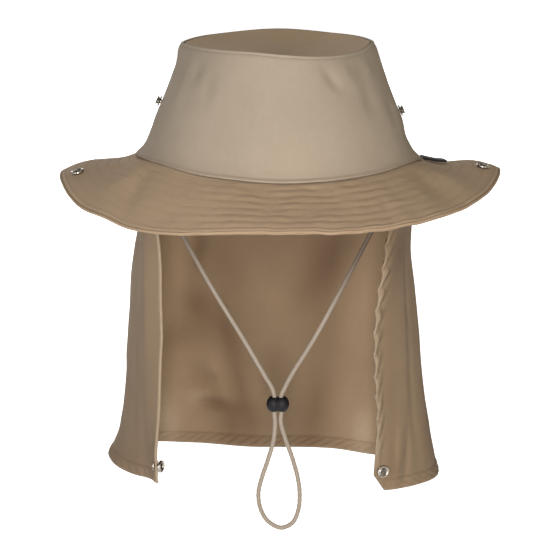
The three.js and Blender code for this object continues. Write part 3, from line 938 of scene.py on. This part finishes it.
flap = {
    "inset": 0.002,
    "length": 0.226,
    "halfWidth": 0.124,
    "backDepth": 0.104,
    "upper": 0.27,
    "middle": 0.8,
    "wall": 0.0014,
    "hemExtra": 0.0009,
    "hemHeight": 0.0082,
    "hemWave": 0.006,
    "cornerCut": 0.012,
    "cornerSpan": 1 / 54,
    "seamDrop": 0.0027,        # from the crown's seam down to the flap's top edge
    "leftHem": 0.0030,         # widths of the turned hems on the front edges
    "rightHem": 0.0068,
    "rope": 0.0023,            # height of the twisted puckers along the right front edge
    "ropePitch": 0.0156,
    "pucker": 0.0085,          # distance between the lower hem's twisted puckers
    "waves": ((0.0016, 0.05, 71), (0.0004, 0.016, 73)),
}
flapColumns = table("angle upX upY midX midY hemX hemY wave", [
    [195, -0.665, -0.173, -0.665, -0.067, -0.673, -0.077, 0],
    [184, -0.742, -0.029, -0.742, 0.077, -0.734, 0.106, 0.35],
    [172, -0.78, 0.135, -0.815, 0.231, -0.855, 0.269, 0.55],
    [158, -0.793, 0.365, -0.868, 0.442, -0.955, 0.5, 0.4],
    [144, -0.75, 0.606, -0.877, 0.692, -0.976, 0.788, 0.5],
    [128, -0.613, 0.788, -0.774, 0.894, -0.79, 1, 0.4],
    [110, -0.387, 0.904, -0.484, 0.962, -0.5, 0.971, 0.4],
    [92, -0.129, 0.942, -0.169, 0.913, -0.177, 0.846, 0.3],
    [75, 0.145, 0.942, 0.121, 0.885, 0.097, 0.837, 0.3],
    [58, 0.387, 0.885, 0.371, 0.865, 0.339, 0.837, 0.5],
    [42, 0.573, 0.76, 0.589, 0.769, 0.573, 0.721, 0.7],
    [26, 0.673, 0.558, 0.758, 0.615, 0.782, 0.654, 0.75],
    [10, 0.711, 0.317, 0.823, 0.365, 0.895, 0.442, 0.65],
    [-5, 0.702, 0.077, 0.79, 0.115, 0.863, 0.135, 0.5],
    [-19, 0.661, -0.125, 0.685, -0.058, 0.726, -0.058, 0.45],
    [-32, 0.577, -0.317, 0.512, -0.212, 0.522, -0.173, 0.45],
])
flapAt = np.linspace(0, 1, len(flapColumns["angle"]))
flapShare = {name: smoothCurve(flapAt, values) for name, values in flapColumns.items()}

# Soft folds of the flap: places and sizes are shares along and down, push is outwards in metres
flapFolds = table("along down wide tall lean push", [
    [0.06, 0.5, 0.02, 0.5, 0, 0.00072],
    [0.13, 0.6, 0.025, 0.4, 0.02, -0.0012],
    [0.21, 0.55, 0.03, 0.4, 0, 0.00132],
    [0.29, 0.5, 0.03, 0.4, 0, -0.0012],
    [0.345, 0.58, 0.018, 0.05, 0.05, -0.00221],
    [0.395, 0.53, 0.02, 0.06, 0.15, 0.00374],
    [0.368, 0.645, 0.018, 0.05, 0, 0.00357],
    [0.4, 0.69, 0.02, 0.032, 0, -0.00221],
    [0.41, 0.78, 0.018, 0.036, 0.1, 0.00357],
    [0.398, 0.838, 0.014, 0.02, 0, -0.00221],
    [0.422, 0.867, 0.028, 0.022, 0.25, 0.00374],
    [0.445, 0.78, 0.011, 0.1, 0.15, 0.00238],
    [0.43, 0.8, 0.01, 0.08, 0.15, -0.00187],
    [0.425, 0.4, 0.024, 0.13, 0.06, 0.00272],
    [0.48, 0.56, 0.03, 0.12, 0, -0.00255],
    [0.492, 0.74, 0.016, 0.09, -0.05, 0.00187],
    [0.56, 0.4, 0.028, 0.14, -0.06, 0.00357],
    [0.61, 0.42, 0.026, 0.2, 0.02, -0.00289],
    [0.585, 0.68, 0.02, 0.1, 0.1, 0.0017],
    [0.55, 0.88, 0.026, 0.1, 0, 0.00272],
    [0.63, 0.87, 0.028, 0.14, 0, -0.00306],
    [0.7, 0.5, 0.028, 0.5, 0, 0.0026],
    [0.77, 0.6, 0.03, 0.5, 0, -0.0022],
    [0.85, 0.5, 0.022, 0.5, 0, 0.002],
    [0.905, 0.6, 0.014, 0.4, 0, -0.0014],
    [0.955, 0.9, 0.008, 0.08, 0.1, 0.0016],
    [0.935, 0.9, 0.007, 0.08, 0.12, -0.0012],
])

# Painted shade of the flap's folds or, below zero, painted light: places and sizes as above
flapLightAndShade = table("along down wide tall lean tone", [
    [0.384, 0.35, 0.013, 0.08, 0, 1.1],
    [0.396, 0.59, 0.034, 0.13, 0.1, 0.95],
    [0.436, 0.63, 0.014, 0.09, 0.1, 0.9],
    [0.455, 0.82, 0.018, 0.18, 0, 0.55],
    [0.442, 0.92, 0.018, 0.07, 0, 0.85],
    [0.472, 0.92, 0.014, 0.07, 0, 0.7],
    [0.42, 0.865, 0.014, 0.03, 0, 0.6],
    [0.362, 0.93, 0.018, 0.09, 0, -0.7],
    [0.398, 0.852, 0.014, 0.03, 0, -0.4],
    [0.418, 0.75, 0.011, 0.03, 0, -0.3],
    [0.588, 0.35, 0.028, 0.12, 0, 0.75],
    [0.612, 0.31, 0.022, 0.06, 0, 0.45],
    [0.562, 0.43, 0.026, 0.13, 0, 0.55],
    [0.53, 0.5, 0.022, 0.07, 0, 0.35],
    [0.56, 0.86, 0.026, 0.2, 0, 0.85],
    [0.64, 0.93, 0.02, 0.08, 0, -0.65],
    [0.95, 0.26, 0.035, 0.1, 0, 1],
    [0.968, 0.55, 0.02, 0.35, 0, 0.45],
    [0.83, 0.8, 0.05, 0.14, 0, 0.5],
    [0.965, 0.92, 0.014, 0.06, 0, 0.6],
    [0.207, 0.45, 0.05, 0.25, 0, -0.5],
    [0.05, 0.75, 0.03, 0.14, 0, 0.25],
    [0.14, 0.95, 0.08, 0.05, 0, 0.35],
    [0.11, 0.32, 0.035, 0.2, 0, -0.35],
])


def throughLevels(stops, levels, at):
    weights = [smoothCurve(stops, unit)(at) for unit in np.eye(len(stops))]
    return sum(weight * level for weight, level in zip(weights, levels))


def flapPoint(along, down):
    angle = flapShare["angle"](along)
    top = onEllipse(angle, crown["seamHalfWidth"] - flap["inset"], crown["seamHalfDepth"] - flap["inset"], 0)
    stops = np.array([0, flap["upper"], flap["middle"], 1])
    place = []
    for axis, (letter, size) in enumerate((("X", flap["halfWidth"]), ("Y", flap["backDepth"]))):
        levels = [flapShare[level + letter](along) * size for level in ("up", "mid", "hem")]
        place.append(throughLevels(stops, [top[..., axis], *levels], down))
    rise = flap["cornerCut"] * np.maximum(0, 1 - (1 - along) / flap["cornerSpan"])
    hemZ = rise - flap["length"] - flap["hemWave"] * flapShare["wave"](along)
    return np.stack([*place, mix(seamZ(angle) - flap["seamDrop"], hemZ, down)], -1)


def ropeTwist(fallen, fromRight):
    return 2 * math.pi * (fallen / flap["ropePitch"] + fromRight / 0.0125)


def ropeFade(fromRight, down):
    return bell((fromRight - 0.004) / 0.0042) * window(down, 0.1, 0.25, 0.84, 0.92)


# How far the front edges and the flap's two sides stand to the right of their plain shape
flapSway = table("down leftEdge rightEdge leftSide rightSide", [
    [0, 0, 0, 0, 0],
    [0.22, 0.0018, -0.0013, 0, 0.0003],
    [0.32, 0.0022, -0.0018, -0.0002, 0.0003],
    [0.4, 0.0018, -0.0031, -0.001, 0.0002],
    [0.48, 0.0019, -0.0034, -0.0013, 0],
    [0.54, 0.0021, -0.0032, -0.0014, 0],
    [0.62, 0.0012, -0.0016, -0.0013, 0.0003],
    [0.7, 0.0006, 0, -0.0008, 0.0007],
    [0.78, 0, 0.0021, -0.0007, 0.0011],
    [0.86, -0.0015, 0.0025, 0.0004, 0.0009],
    [0.92, -0.0022, 0.001, 0.0018, 0.0003],
    [1, -0.001, -0.0008, 0, 0],
])
sways = curves(flapSway)
swayZones = {"leftEdge": (0, 0.03), "leftSide": (0.2, 0.12), "rightSide": (0.8, 0.1), "rightEdge": (1, 0.03)}


def flapSurface(along, down):
    base = flapPoint(along, down)
    for name, (middle, width) in swayZones.items():
        base[..., 0] += sways[name](down) * bell((along - middle) / width)
    normals = gridNormals(base, False)
    folds = softSpots(flapFolds, along, down) + layered(base, flap["waves"])
    folds *= smoothStep(0, 0.12, down) * window(along, 0, 0.05, 0.975, 1)
    fromRight = lengthsAlong(base, 0)
    fromRight = fromRight[-1:, :] - fromRight
    twist = ropeTwist(lengthsAlong(base, 1), fromRight)
    rope = flap["rope"] * (0.6 * np.sin(twist) + 0.3 * np.sin(2 * twist + 1.1)) * ropeFade(fromRight, down)
    return base + normals * (folds + rope)[..., None]


def makeFlap():
    alongs = runs((0, 0.004, 4), (0.004, 0.03, 14), (0.03, 0.955, 232), (0.955, 0.996, 26), (0.996, 1, 4))
    downs = runs((0, 0.005, 3), (0.005, 0.9, 92), (0.9, 0.99, 22), (0.99, 1, 5))
    along, down = grid(alongs, downs)
    middle = flapSurface(along, down)
    left = lengthsAlong(middle, 0)
    right = left[-1:, :] - left
    fallen = lengthsAlong(middle, 1)
    toHem = fallen[:, -1:] - fallen
    hemHeight, leftHem, rightHem = flap["hemHeight"], flap["leftHem"], flap["rightHem"]
    hem = below(toHem, hemHeight, 0.0006)
    front = below(left, leftHem, 0.0005) + below(right, rightHem, 0.0005)
    wall = flap["wall"] + flap["hemExtra"] * np.maximum(hem, front * 0.7)
    turn = 2 * math.pi * (left / flap["pucker"] - toHem / 0.011) + 3 * noiseAt(middle, 0.02, 81)
    inBand = bell((toHem - hemHeight / 2) / (hemHeight * 0.45))
    stitched = bell((toHem - hemHeight) / 0.0007) + 0.6 * bell((left - leftHem) / 0.0006)
    stitched += 0.5 * bell((right - rightHem) / 0.0007)
    puff = 0.0005 * np.sin(turn) * inBand - 0.0002 * stitched
    backPart = window(along, 0.1, 0.25, 0.8, 0.95)
    # Painted shade in the troughs of the hem's puckers, the rope's notches and along the stitch lines; the
    # hem band at the back is darker
    puckers = 0.9 * np.maximum(0, -np.sin(turn)) ** 3 * inBand * backPart
    ropeNotchShade = 1.7 * np.maximum(0, -np.sin(ropeTwist(fallen, right) + 0.4)) ** 4 * ropeFade(right, down)
    marks = 0.16 + 0.45 * stitched + puckers + ropeNotchShade + 0.25 * hem * backPart
    # Lighter edges: the left front edge and the hem's edge, and a painted highlight along the rope of the
    # right edge
    lightened = window(down, 0.2, 0.42, 0.9, 1)
    worn = 0.75 * bell(left / 0.0028) + 0.65 * lightened * bell(right / 0.0052) + 0.3 * bell(toHem / 0.0014)
    # Painted shade in the folds' hollows, and the table's painted shade and painted light
    hollow = np.clip(softSpots(flapFolds, along, down) / 0.004, -0.3, 1) * backPart
    tone = softSpots(flapLightAndShade, along, down)
    back = window(along, 0.24, 0.3, 0.7, 0.76)
    shares = (1 - 0.9 * back, 1.0)             # the back's outer side gets little of the painted shade and light, which belong to its inner side
    creases = tuple(np.clip(marks + (0.5 * hollow + np.maximum(0, tone)) * side, 0, 1.8) for side in shares)
    worns = tuple(np.clip(worn + np.maximum(0, -tone) * side, 0, 1) for side in shares)
    piece = clothPiece("neckFlapPanel", middle, wall, paints["flap"], puff=puff, innerPuff=puff,
                       worn=worns, crease=creases)
    return finishPiece(piece, "neck_flap")


flapPanel = makeFlap()
print("neck flap made")

# The chin cord's route, from the seam on the left down through the lock and back up to the right
lockLevel = -0.1713
cordRoute = [
    (-0.0904, 0, -0.0004), (-0.0902, 0, -0.005), (-0.088, 0, -0.0125), (-0.0786, 0, -0.031),
    (-0.063, 0, -0.059), (-0.0446, 0, -0.0924), (-0.0246, 0, -0.126), (-0.0103, 0, -0.1514),
    (-0.0052, 0, -0.1605), (-0.004, 0, -0.165), (-0.004, 0, lockLevel), (-0.0039, 0, -0.177),
    (-0.0034, 0, -0.184), (-0.0044, 0, -0.197), (-0.0086, 0, -0.212), (-0.0125, 0, -0.224),
    (-0.015, 0, -0.2355), (-0.0134, 0, -0.247), (-0.008, 0, -0.256), (0.001, 0, -0.2604),
    (0.0088, 0, -0.2566), (0.0128, 0, -0.247), (0.0136, 0, -0.235), (0.0122, 0, -0.224),
    (0.0088, 0, -0.211), (0.0034, 0, -0.195), (0.0005, 0, -0.184), (0.0009, 0, -0.177),
    (0.001, 0, lockLevel), (0.001, 0, -0.165), (0.0029, -0.0004, -0.1605), (0.0074, -0.002, -0.151),
    (0.0226, -0.007, -0.1245), (0.0404, -0.013, -0.0895), (0.0594, -0.020, -0.050),
    (0.0725, -0.026, -0.024), (0.0814, -0.0322, -0.007), (0.0832, -0.0336, -0.0003),
]
cord = {
    "diameter": 0.003,
    "strandsAround": 6,        # strands that run each way round the braid
    "strandRise": 0.0019,      # length of one crossing along the cord
    "relief": 0.00026,
    "sides": 30,
    "step": 0.00042,
}


def catmullRom(points, perSpan):
    route = np.array(points, float)
    route = np.concatenate([[2 * route[0] - route[1]], route, [2 * route[-1] - route[-2]]])
    line = []
    for i in range(1, len(route) - 2):
        p = route[i - 1:i + 3]
        knots = np.concatenate([[0], np.cumsum(np.sqrt(np.linalg.norm(np.diff(p, axis=0), axis=1)))])
        t = np.linspace(knots[1], knots[2], perSpan, endpoint=False)[:, None]
        first = [mix(p[k], p[k + 1], (t - knots[k]) / (knots[k + 1] - knots[k])) for k in range(3)]
        second = [mix(first[k], first[k + 1], (t - knots[k]) / (knots[k + 2] - knots[k])) for k in range(2)]
        line.append(mix(second[0], second[1], (t - knots[1]) / (knots[2] - knots[1])))
    return np.concatenate([*line, route[-2:-1]])


def evenSteps(line, step):
    lengths = np.concatenate([[0], np.cumsum(np.linalg.norm(np.diff(line, axis=0), axis=1))])
    at = np.linspace(0, lengths[-1], max(2, round(lengths[-1] / step)))
    return np.stack([np.interp(at, lengths, line[:, k]) for k in range(3)], -1), at


def carriedFrames(line):
    tangents = np.gradient(line, axis=0)
    tangents /= np.linalg.norm(tangents, axis=1, keepdims=True)
    side = np.cross(tangents[0], (0, 1, 0.2))
    sides = []
    for tangent in tangents:
        side = side - tangent * np.dot(side, tangent)
        side = side / np.linalg.norm(side)
        sides.append(side)
    sides = np.array(sides)
    return sides, np.cross(tangents, sides)


def makeCord():
    line, at = evenSteps(catmullRom(cordRoute, 24), cord["step"])
    sides, ups = carriedFrames(line)
    turn = np.linspace(0, 2 * math.pi, cord["sides"], endpoint=False)
    s, theta = grid(at, turn)
    phase = cord["strandsAround"] * theta / 2
    climb = math.pi * s / cord["strandRise"] / 2
    over = []                  # how far the strands of each way stand up where they cross
    for own, other, way in ((phase + climb, phase - climb, 1), (phase - climb, phase + climb, -1)):
        parity = np.where(np.floor(own / math.pi) % 2 == 0, way, -way)
        over.append((0.5 + 0.5 * parity * np.sin(other)) * np.sqrt(np.abs(np.sin(own))))
    strand = np.maximum(*over)
    radius = cord["diameter"] / 2 + cord["relief"] * (strand - 0.75)
    ring = sides[:, None] * (np.cos(theta) * radius)[..., None]
    ring += ups[:, None] * (np.sin(theta) * radius)[..., None]
    index = np.arange(theta.size).reshape(theta.shape)
    after = np.roll(index, -1, 1)
    faces = np.stack([index[:-1], after[:-1], after[1:], index[1:]], -1).reshape(-1, 4).tolist()
    faces += [(theta.size, b, a) for a, b in zip(index[0].tolist(), after[0].tolist())]
    faces += [(theta.size + 1, a, b) for a, b in zip(index[-1].tolist(), after[-1].tolist())]
    points = np.concatenate([(line[:, None] + ring).reshape(-1, 3), line[[0, -1]]])
    data = makeMesh("chinCordBraid", points.tolist(), faces, paints["cord"])
    setValues(data, "strand", [*strand.ravel(), 0.5, 0.5])
    loops = np.zeros(len(data.loops), np.int32)
    data.loops.foreach_get("vertex_index", loops)
    uv = np.stack([s.ravel(), theta.ravel() * cord["diameter"] / 2], -1)
    setUv(data, "cord", np.concatenate([uv, [[0, 0], [0, 0]]])[loops])
    return finishPiece(link(data, "chinCordBraid"), "chin_cord"), line, float(at[-1])


cordPiece, cordLine, cordLength = makeCord()
print("chin cord made:", round(cordLength, 4), "m")

lock = {
    "width": 0.0157,
    "height": 0.0121,
    "depth": 0.0092,
    "lobeRadius": 0.0050,
    "bore": 0.00185,
    "mouth": 0.0026,
    "voxel": 0.00022,
}


def latheMesh(name, profile, sides):
    rings = [point for point in profile if point[0] > 0]
    turn = np.linspace(0, 2 * math.pi, sides, endpoint=False)
    points = [(r * math.cos(t), r * math.sin(t), z) for r, z in rings for t in turn]
    points += [(0, 0, profile[0][1]), (0, 0, profile[-1][1])]
    base = len(rings) * sides
    top = base - sides
    faces = []
    for m in range(sides):
        n = (m + 1) % sides
        faces += [(k + m, k + n, k + sides + n, k + sides + m) for k in range(0, top, sides)]
        faces += [(base, n, m), (base + 1, top + m, top + n)]
    return makeMesh(name, points, faces)


def makeLock():
    strands = [point for point in cordRoute if point[2] == lockLevel]
    middle = (strands[0][0] + strands[1][0]) / 2
    arc = [(math.sin(t), -math.cos(t)) for t in np.linspace(0, math.pi, 33)]
    arc[0], arc[-1] = (0, -1), (0, 1)
    ball = latheMesh("lobe", arc, 48)
    points, faces = [], []
    for side in (-1, 1):
        start = len(points)
        x = middle + side * (lock["width"] / 2 - lock["lobeRadius"])
        points += [(x + v.co.x * lock["lobeRadius"], v.co.y * lock["depth"] / 2,
                    lockLevel + v.co.z * lock["height"] / 2) for v in ball.vertices]
        faces += [tuple(start + v for v in polygon.vertices) for polygon in ball.polygons]
    bead = link(makeMesh("cordLockBead", points, faces), "cordLockBead")
    remesh = bead.modifiers.new("join", "REMESH")
    remesh.mode = "VOXEL"
    remesh.voxel_size = lock["voxel"]
    smooth = bead.modifiers.new("soften", "SMOOTH")
    smooth.factor = 0.5
    smooth.iterations = 4
    tall = lock["height"]
    flare = [(0.0036, tall), (0.0030, tall * 0.47), (lock["mouth"], tall * 0.42), (lock["bore"], tall * 0.32)]
    flare = [(0, -tall), *[(r, -z) for r, z in flare], *flare[::-1], (0, tall)]
    cutters = []
    for place in strands:
        cutter = link(latheMesh("boreCutter", flare, 40), "boreCutter")
        cutter.data.transform(Matrix.Translation(place))
        cut = bead.modifiers.new("bore", "BOOLEAN")
        cut.object = cutter
        cut.solver = "EXACT"
        cutters.append(cutter)
    bead.data = evaluatedMesh(bead)
    bead.modifiers.clear()
    for cutter in cutters:
        bpy.data.objects.remove(cutter)
    bead.data.shade_smooth()
    bead.data.set_sharp_from_angle(angle=math.radians(38))
    bead.data.materials.clear()
    bead.data.materials.append(paints["plastic"])
    return finishPiece(bead, "cord_lock")


lockPiece = makeLock()
print("cord lock made")

# Snaps: lathed profiles in metres, (radius, height) from the plate behind the cloth to the front
snap = {
    "sides": 40,
    "radius": 0.0043,
    "neck": 0.0016,
    "plate": 0.0009,
    "seatGap": {"stud": 0.000738, "socket": 0.000328},     # from the cloth's face to the metal
    "studHeight": 0.0028,
    "socketHeight": 0.0018,
    "springRadius": 0.00022,
    "springHalfLength": 0.0023,
    "springOut": 0.00165,      # from the socket's middle to each wire's ends
    "springBow": 0.0005,       # and how much nearer its middle is
    "springDepth": 0.0008,
}


def backPlate(face):
    r, t = snap["radius"], snap["plate"]
    return [
        (0, -face - t * 1.05), (r * 0.55, -face - t * 1.05), (r * 0.86, -face - t * 0.9),
        (r * 0.97, -face - t * 0.62), (r, -face - t * 0.35), (r * 0.97, -face - t * 0.05),
        (r * 0.9, -face), (snap["neck"], -face), (snap["neck"], face),
    ]


def studProfile(face):
    top = face + snap["studHeight"]
    return backPlate(face) + [
        (0.0037, face), (0.0040, face + 0.00012), (0.0041, face + 0.0004), (0.0039, face + 0.0007),
        (0.0034, face + 0.00085), (0.0029, face + 0.0009), (0.0024, face + 0.00105), (0.0023, face + 0.0014),
        (0.0027, face + 0.0017), (0.0032, top - 0.0007), (0.0031, top - 0.00035), (0.0027, top - 0.0001),
        (0.0020, top), (0.0011, top - 0.00012), (0, top - 0.0002),
    ]


def socketProfile(face):
    top = face + snap["socketHeight"]
    r = snap["radius"]
    return backPlate(face) + [
        (r * 0.93, face), (r * 0.99, face + 0.0002), (r, face + 0.0006), (r * 0.985, top - 0.0005),
        (r * 0.94, top - 0.00015), (r * 0.86, top), (r * 0.77, top - 0.00012), (r * 0.71, top - 0.0004),
        (r * 0.66, top - 0.00055), (r * 0.58, top - 0.0004), (r * 0.53, top - 0.0003),
        (r * 0.485, top - 0.00045), (r * 0.47, face + 0.0009), (r * 0.3, face + 0.0006), (0, face + 0.0006),
    ]


def springBars(face):
    top = face + snap["socketHeight"]
    thick, sides, steps = snap["springRadius"], 8, 9
    turn = np.linspace(0, 2 * math.pi, sides, endpoint=False)
    points, faces = [], []
    for side in (-1, 1):
        start = len(points)
        last = start + (steps - 1) * sides
        for t in np.linspace(-1, 1, steps):
            x = side * (snap["springOut"] - snap["springBow"] * (1 - t * t))
            y = t * snap["springHalfLength"]
            z = top - snap["springDepth"]
            points += [(x + thick * math.cos(m), y, z + thick * math.sin(m)) for m in turn]
        for m in range(sides):
            n = (m + 1) % sides
            faces += [(k + m, k + sides + m, k + sides + n, k + n) for k in range(start, last, sides)]
        faces += [tuple(start + m for m in range(sides)), tuple(last + m for m in reversed(range(sides)))]
    return points, faces


def seatOf(surface, u, v, outwards):
    step = 0.002

    def at(a, b):
        return surface(np.array([float(a)]), np.array([float(b)]))[0]

    normal = np.cross(at(u + step, v) - at(u - step, v), at(u, v + step) - at(u, v - step))
    return Vector(at(u, v)), Vector(normal / np.linalg.norm(normal) * outwards)


def makeSnap(nodeName, kind, wall, seat):
    face = wall / 2 + snap["seatGap"][kind]
    profile = studProfile(face) if kind == "stud" else socketProfile(face)
    data = latheMesh(nodeName + ".metal", profile, snap["sides"])
    if kind == "socket":
        bars, barFaces = springBars(face)
        start = len(data.vertices)
        points = [tuple(v.co) for v in data.vertices] + bars
        faces = [tuple(p.vertices) for p in data.polygons] + [tuple(start + v for v in f) for f in barFaces]
        data = makeMesh(nodeName + ".metal", points, faces)
    reach = np.array([math.hypot(v.co.x, v.co.y) for v in data.vertices])
    height = np.array([v.co.z for v in data.vertices])
    # the socket's recess, which is painted dark as shade
    inside = (reach < 0.72 * snap["radius"]) & (height > face) & (height < face + 0.0012)
    setValues(data, "recessShade", inside & (kind == "socket"))
    point, normal = seat
    turned = normal.to_track_quat("Z", "Y").to_matrix().to_4x4()
    turned.translation = point
    data.transform(turned)
    data.set_sharp_from_angle(angle=math.radians(50))
    data.materials.append(paints["nickel"])
    return finishPiece(link(data, nodeName + "Metal"), nodeName)


def heightShare(angle, z):
    low = float(seamZ(angle)) + crown["footLift"]
    return (z - low) / (float(rimZ(angle)) - low)


def hemRun():
    along = np.linspace(0, 1, 55)
    return float(lengthsAlong(flapPoint(along, np.ones(55))[:, None], 0)[-1, 0])


places = {
    "studAngle": 5,
    "studLeft": 0.0369,
    "studRight": 0.0306,
    "socketInset": 0.012,
    "socketLeft": 190,
    "socketRight": -7,
    "flapRise": 0.012,
    "flapInset": 0.0066,
    "leftEdgeward": 0.55,      # the left corner is twisted: its snap looks forwards, near the edge
    "leftTurn": 0.8,
}
socketReach = 1 - places["socketInset"] / brimBand
flapDown = 1 - places["flapRise"] / flap["length"]
flapShareIn = places["flapInset"] / hemRun()
flapWall = flap["wall"] + flap["hemExtra"]
leftPoint, leftFacing = seatOf(flapPoint, flapShareIn * places["leftEdgeward"], flapDown, -1)
leftFacing = (leftFacing + Vector((0, -places["leftTurn"], 0))).normalized()
snapSeats = {
    "crown_stud_left": ("stud", crown["wall"], seatOf(crownPoint, 180 - places["studAngle"],
                                                      heightShare(180, places["studLeft"]), 1)),
    "crown_stud_right": ("stud", crown["wall"], seatOf(crownPoint, places["studAngle"],
                                                       heightShare(0, places["studRight"]), 1)),
    "brim_socket_left": ("socket", brim["wall"], seatOf(brimPoint, places["socketLeft"], socketReach, -1)),
    "brim_socket_right": ("socket", brim["wall"], seatOf(brimPoint, places["socketRight"], socketReach, -1)),
    "flap_snap_left": ("socket", flapWall, (leftPoint, leftFacing)),
    "flap_snap_right": ("socket", flapWall, seatOf(flapPoint, 1 - flapShareIn, flapDown, 1)),
}
snapPieces = {name: makeSnap(name, *facts) for name, facts in snapSeats.items()}
print("snaps made:", len(snapPieces))

label = {
    "length": 0.017,
    "width": 0.014,
    "wall": 0.0016,
    "angle": 7,
    "start": 0.0011,           # from the seam to the tab's inner end
    "lift": 0.0020,            # from the brim's middle surface to the tab's
    "straightness": 0.35,      # 0 follows the brim, 1 is flat
    "tipLift": 0.0013,         # how far the free end stands up
    "waves": ((0.0002, 0.006, 91),),
}


def makeLabel():
    half = math.degrees(label["width"] / crown["seamHalfDepth"]) / 2
    angles = runs((-half, 0.4 - half, 4), (0.4 - half, half - 0.4, 24), (half - 0.4, half, 4))
    start = label["start"] / brimBand
    end = start + label["length"] / brimBand
    reaches = runs((start, start + 0.012, 4), (start + 0.012, end - 0.012, 26), (end - 0.012, end, 4))
    angle, reach = grid(label["angle"] + angles, reaches)
    base = brimPoint(angle, reach)
    out = (reach - start) / (end - start)
    straight = mix(base[:, :1], base[:, -1:], out[..., None])
    middle = mix(base, straight, label["straightness"]) - gridNormals(base, False) * label["lift"]
    middle[..., 2] += layered(middle, label["waves"]) + label["tipLift"] * out
    piece = clothPiece("labelTabCloth", middle, label["wall"], paints["label"], flip=True)
    return finishPiece(piece, "label_tab")


makeLabel()
print("label tab made")

stitch = {
    "pitch": 0.0029,
    "length": 0.0022,
    "radius": 0.00026,
    "tilt": 0.12,
    "seed": 7,
    "lift": 0.00005,           # how far the thread stands off the brim and the hem
    "sunk": -0.0002,           # and how deep it lies in the crown's grooves
}


def stitchTree():
    inputs = {"Pitch": 0.003, "Length": 0.002, "Thread radius": 0.0003, "Tilt": 0.1, "Seed": 1}
    rows = Tree("threadStitches", inputs)
    tilt, radius = rows.given("Tilt"), rows.given("Thread radius")
    even = rows.node("GeometryNodeResampleCurve", {"mode": "LENGTH"},
                     {"Curve": rows.given("Geometry"), "Length": rows.given("Pitch")})
    shape = rows.node("GeometryNodeMeshUVSphere", {}, {"Segments": 6, "Rings": 3, "Radius": 1.0})
    smooth = rows.node("GeometryNodeSetShadeSmooth", {}, {"Geometry": shape})
    tangent = rows.node("GeometryNodeInputTangent", {}, {})
    facing = rows.node("FunctionNodeAlignRotationToVector", {"axis": "X"}, {"Vector": tangent})
    sway = rows.node("FunctionNodeRandomValue", {"data_type": "FLOAT"},
                     {2: tilt * -1.0, 3: tilt, "Seed": rows.given("Seed")}, 1)
    twist = rows.node("ShaderNodeCombineXYZ", {}, {"Z": sway})
    turn = rows.node("FunctionNodeEulerToRotation", {}, {"Euler": twist})
    rotation = rows.node("FunctionNodeRotateRotation", {"rotation_space": "LOCAL"},
                         {"Rotation": facing, "Rotate By": turn})
    size = rows.node("ShaderNodeCombineXYZ", {}, {"X": rows.given("Length") * 0.5, "Y": radius, "Z": radius})
    sockets = {"Points": even, "Instance": smooth, "Rotation": rotation, "Scale": size}
    return rows.close(rows.node("GeometryNodeInstanceOnPoints", {}, sockets))


threads = stitchTree()


def sewn(name, lines, paint, radius=stitch["radius"], pitch=stitch["pitch"]):
    curve = bpy.data.curves.new(name + ".lines", "CURVE")
    curve.dimensions = "3D"
    for points, closed in lines:
        spline = curve.splines.new("POLY")
        spline.points.add(len(points) - 1)
        withWeight = np.pad(points, ((0, 0), (0, 1)), constant_values=1)
        spline.points.foreach_set("co", withWeight.astype(np.float32).ravel())
        spline.use_cyclic_u = closed
    values = {"Pitch": pitch, "Length": pitch * stitch["length"] / stitch["pitch"], "Thread radius": radius,
              "Tilt": stitch["tilt"], "Seed": stitch["seed"], "Material": paint}
    piece = bakeTree(link(curve, name + ".lines"), threads, name, values)
    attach(piece, "root")
    return piece


# Lines of thread: a strip three points wide gives the cloth's face, and its middle carries the thread
def beside(centre, step):
    return np.stack([centre - step, centre, centre + step], 1)


def threeWide(values):
    return np.repeat(values[:, None], 3, 1)


def onFace(strip, closed, side, wall, lift):
    return strip + gridNormals(strip, closed) * side * (wall / 2 + lift)


def brimLines():
    lines = []
    angles = np.linspace(-180, 180, 420, endpoint=False)
    for rowReach in rowReaches[1:-1]:
        centre = rowReach + rowWander(angles) * math.sin(math.pi * rowReach)
        strip = brimSurface(threeWide(angles), beside(centre, 0.01))
        lines += [(onFace(strip, True, side, brim["wall"], stitch["lift"])[:, 1], True) for side in (-1, 1)]
    return lines


def crownLines():
    lines = []
    rimLevel = 1 - crown["rimStitch"] / crown["slant"]
    footLevel = crown["footStitch"] / crown["slant"]
    for nodeName, start, end in crownPanels.values():
        angles = np.linspace(start + 0.8, end - 0.8, 200)
        for level in (rimLevel, footLevel):
            strip = crownSurface(threeWide(angles), beside(np.full(200, level), 0.006))
            lines.append((onFace(strip, False, 1, crown["wall"], stitch["sunk"])[:, 1], False))
        heights = np.linspace(0.05, 0.94, 90)
        radius = mix(crown["seamHalfDepth"], crown["rimHalfDepth"], heights)
        off = np.degrees(crown["sideStitch"] / radius)
        for centre in (start + off, end - off):
            strip = crownSurface(beside(centre, 0.6).T, threeWide(heights).T)
            lines.append((onFace(strip, False, 1, crown["wall"], stitch["sunk"])[1], False))
    return lines


def flapLines():
    along = np.linspace(0.012, 0.972, 320)
    level = 1 - flap["hemHeight"] / flap["length"]
    strip = flapSurface(threeWide(along), beside(np.full(320, level), 0.01))
    wall = flap["wall"] + flap["hemExtra"] * 0.5
    return [(onFace(strip, False, side, wall, stitch["lift"])[:, 1], False) for side in (1, -1)]


sewn("brimStitches", brimLines(), paints["brimThread"], radius=0.0002)
sewn("crownStitches", crownLines(), paints["thread"], pitch=0.0021)
flapStitches = sewn("flapStitches", flapLines(), paints["thread"])
print("stitches sewn")
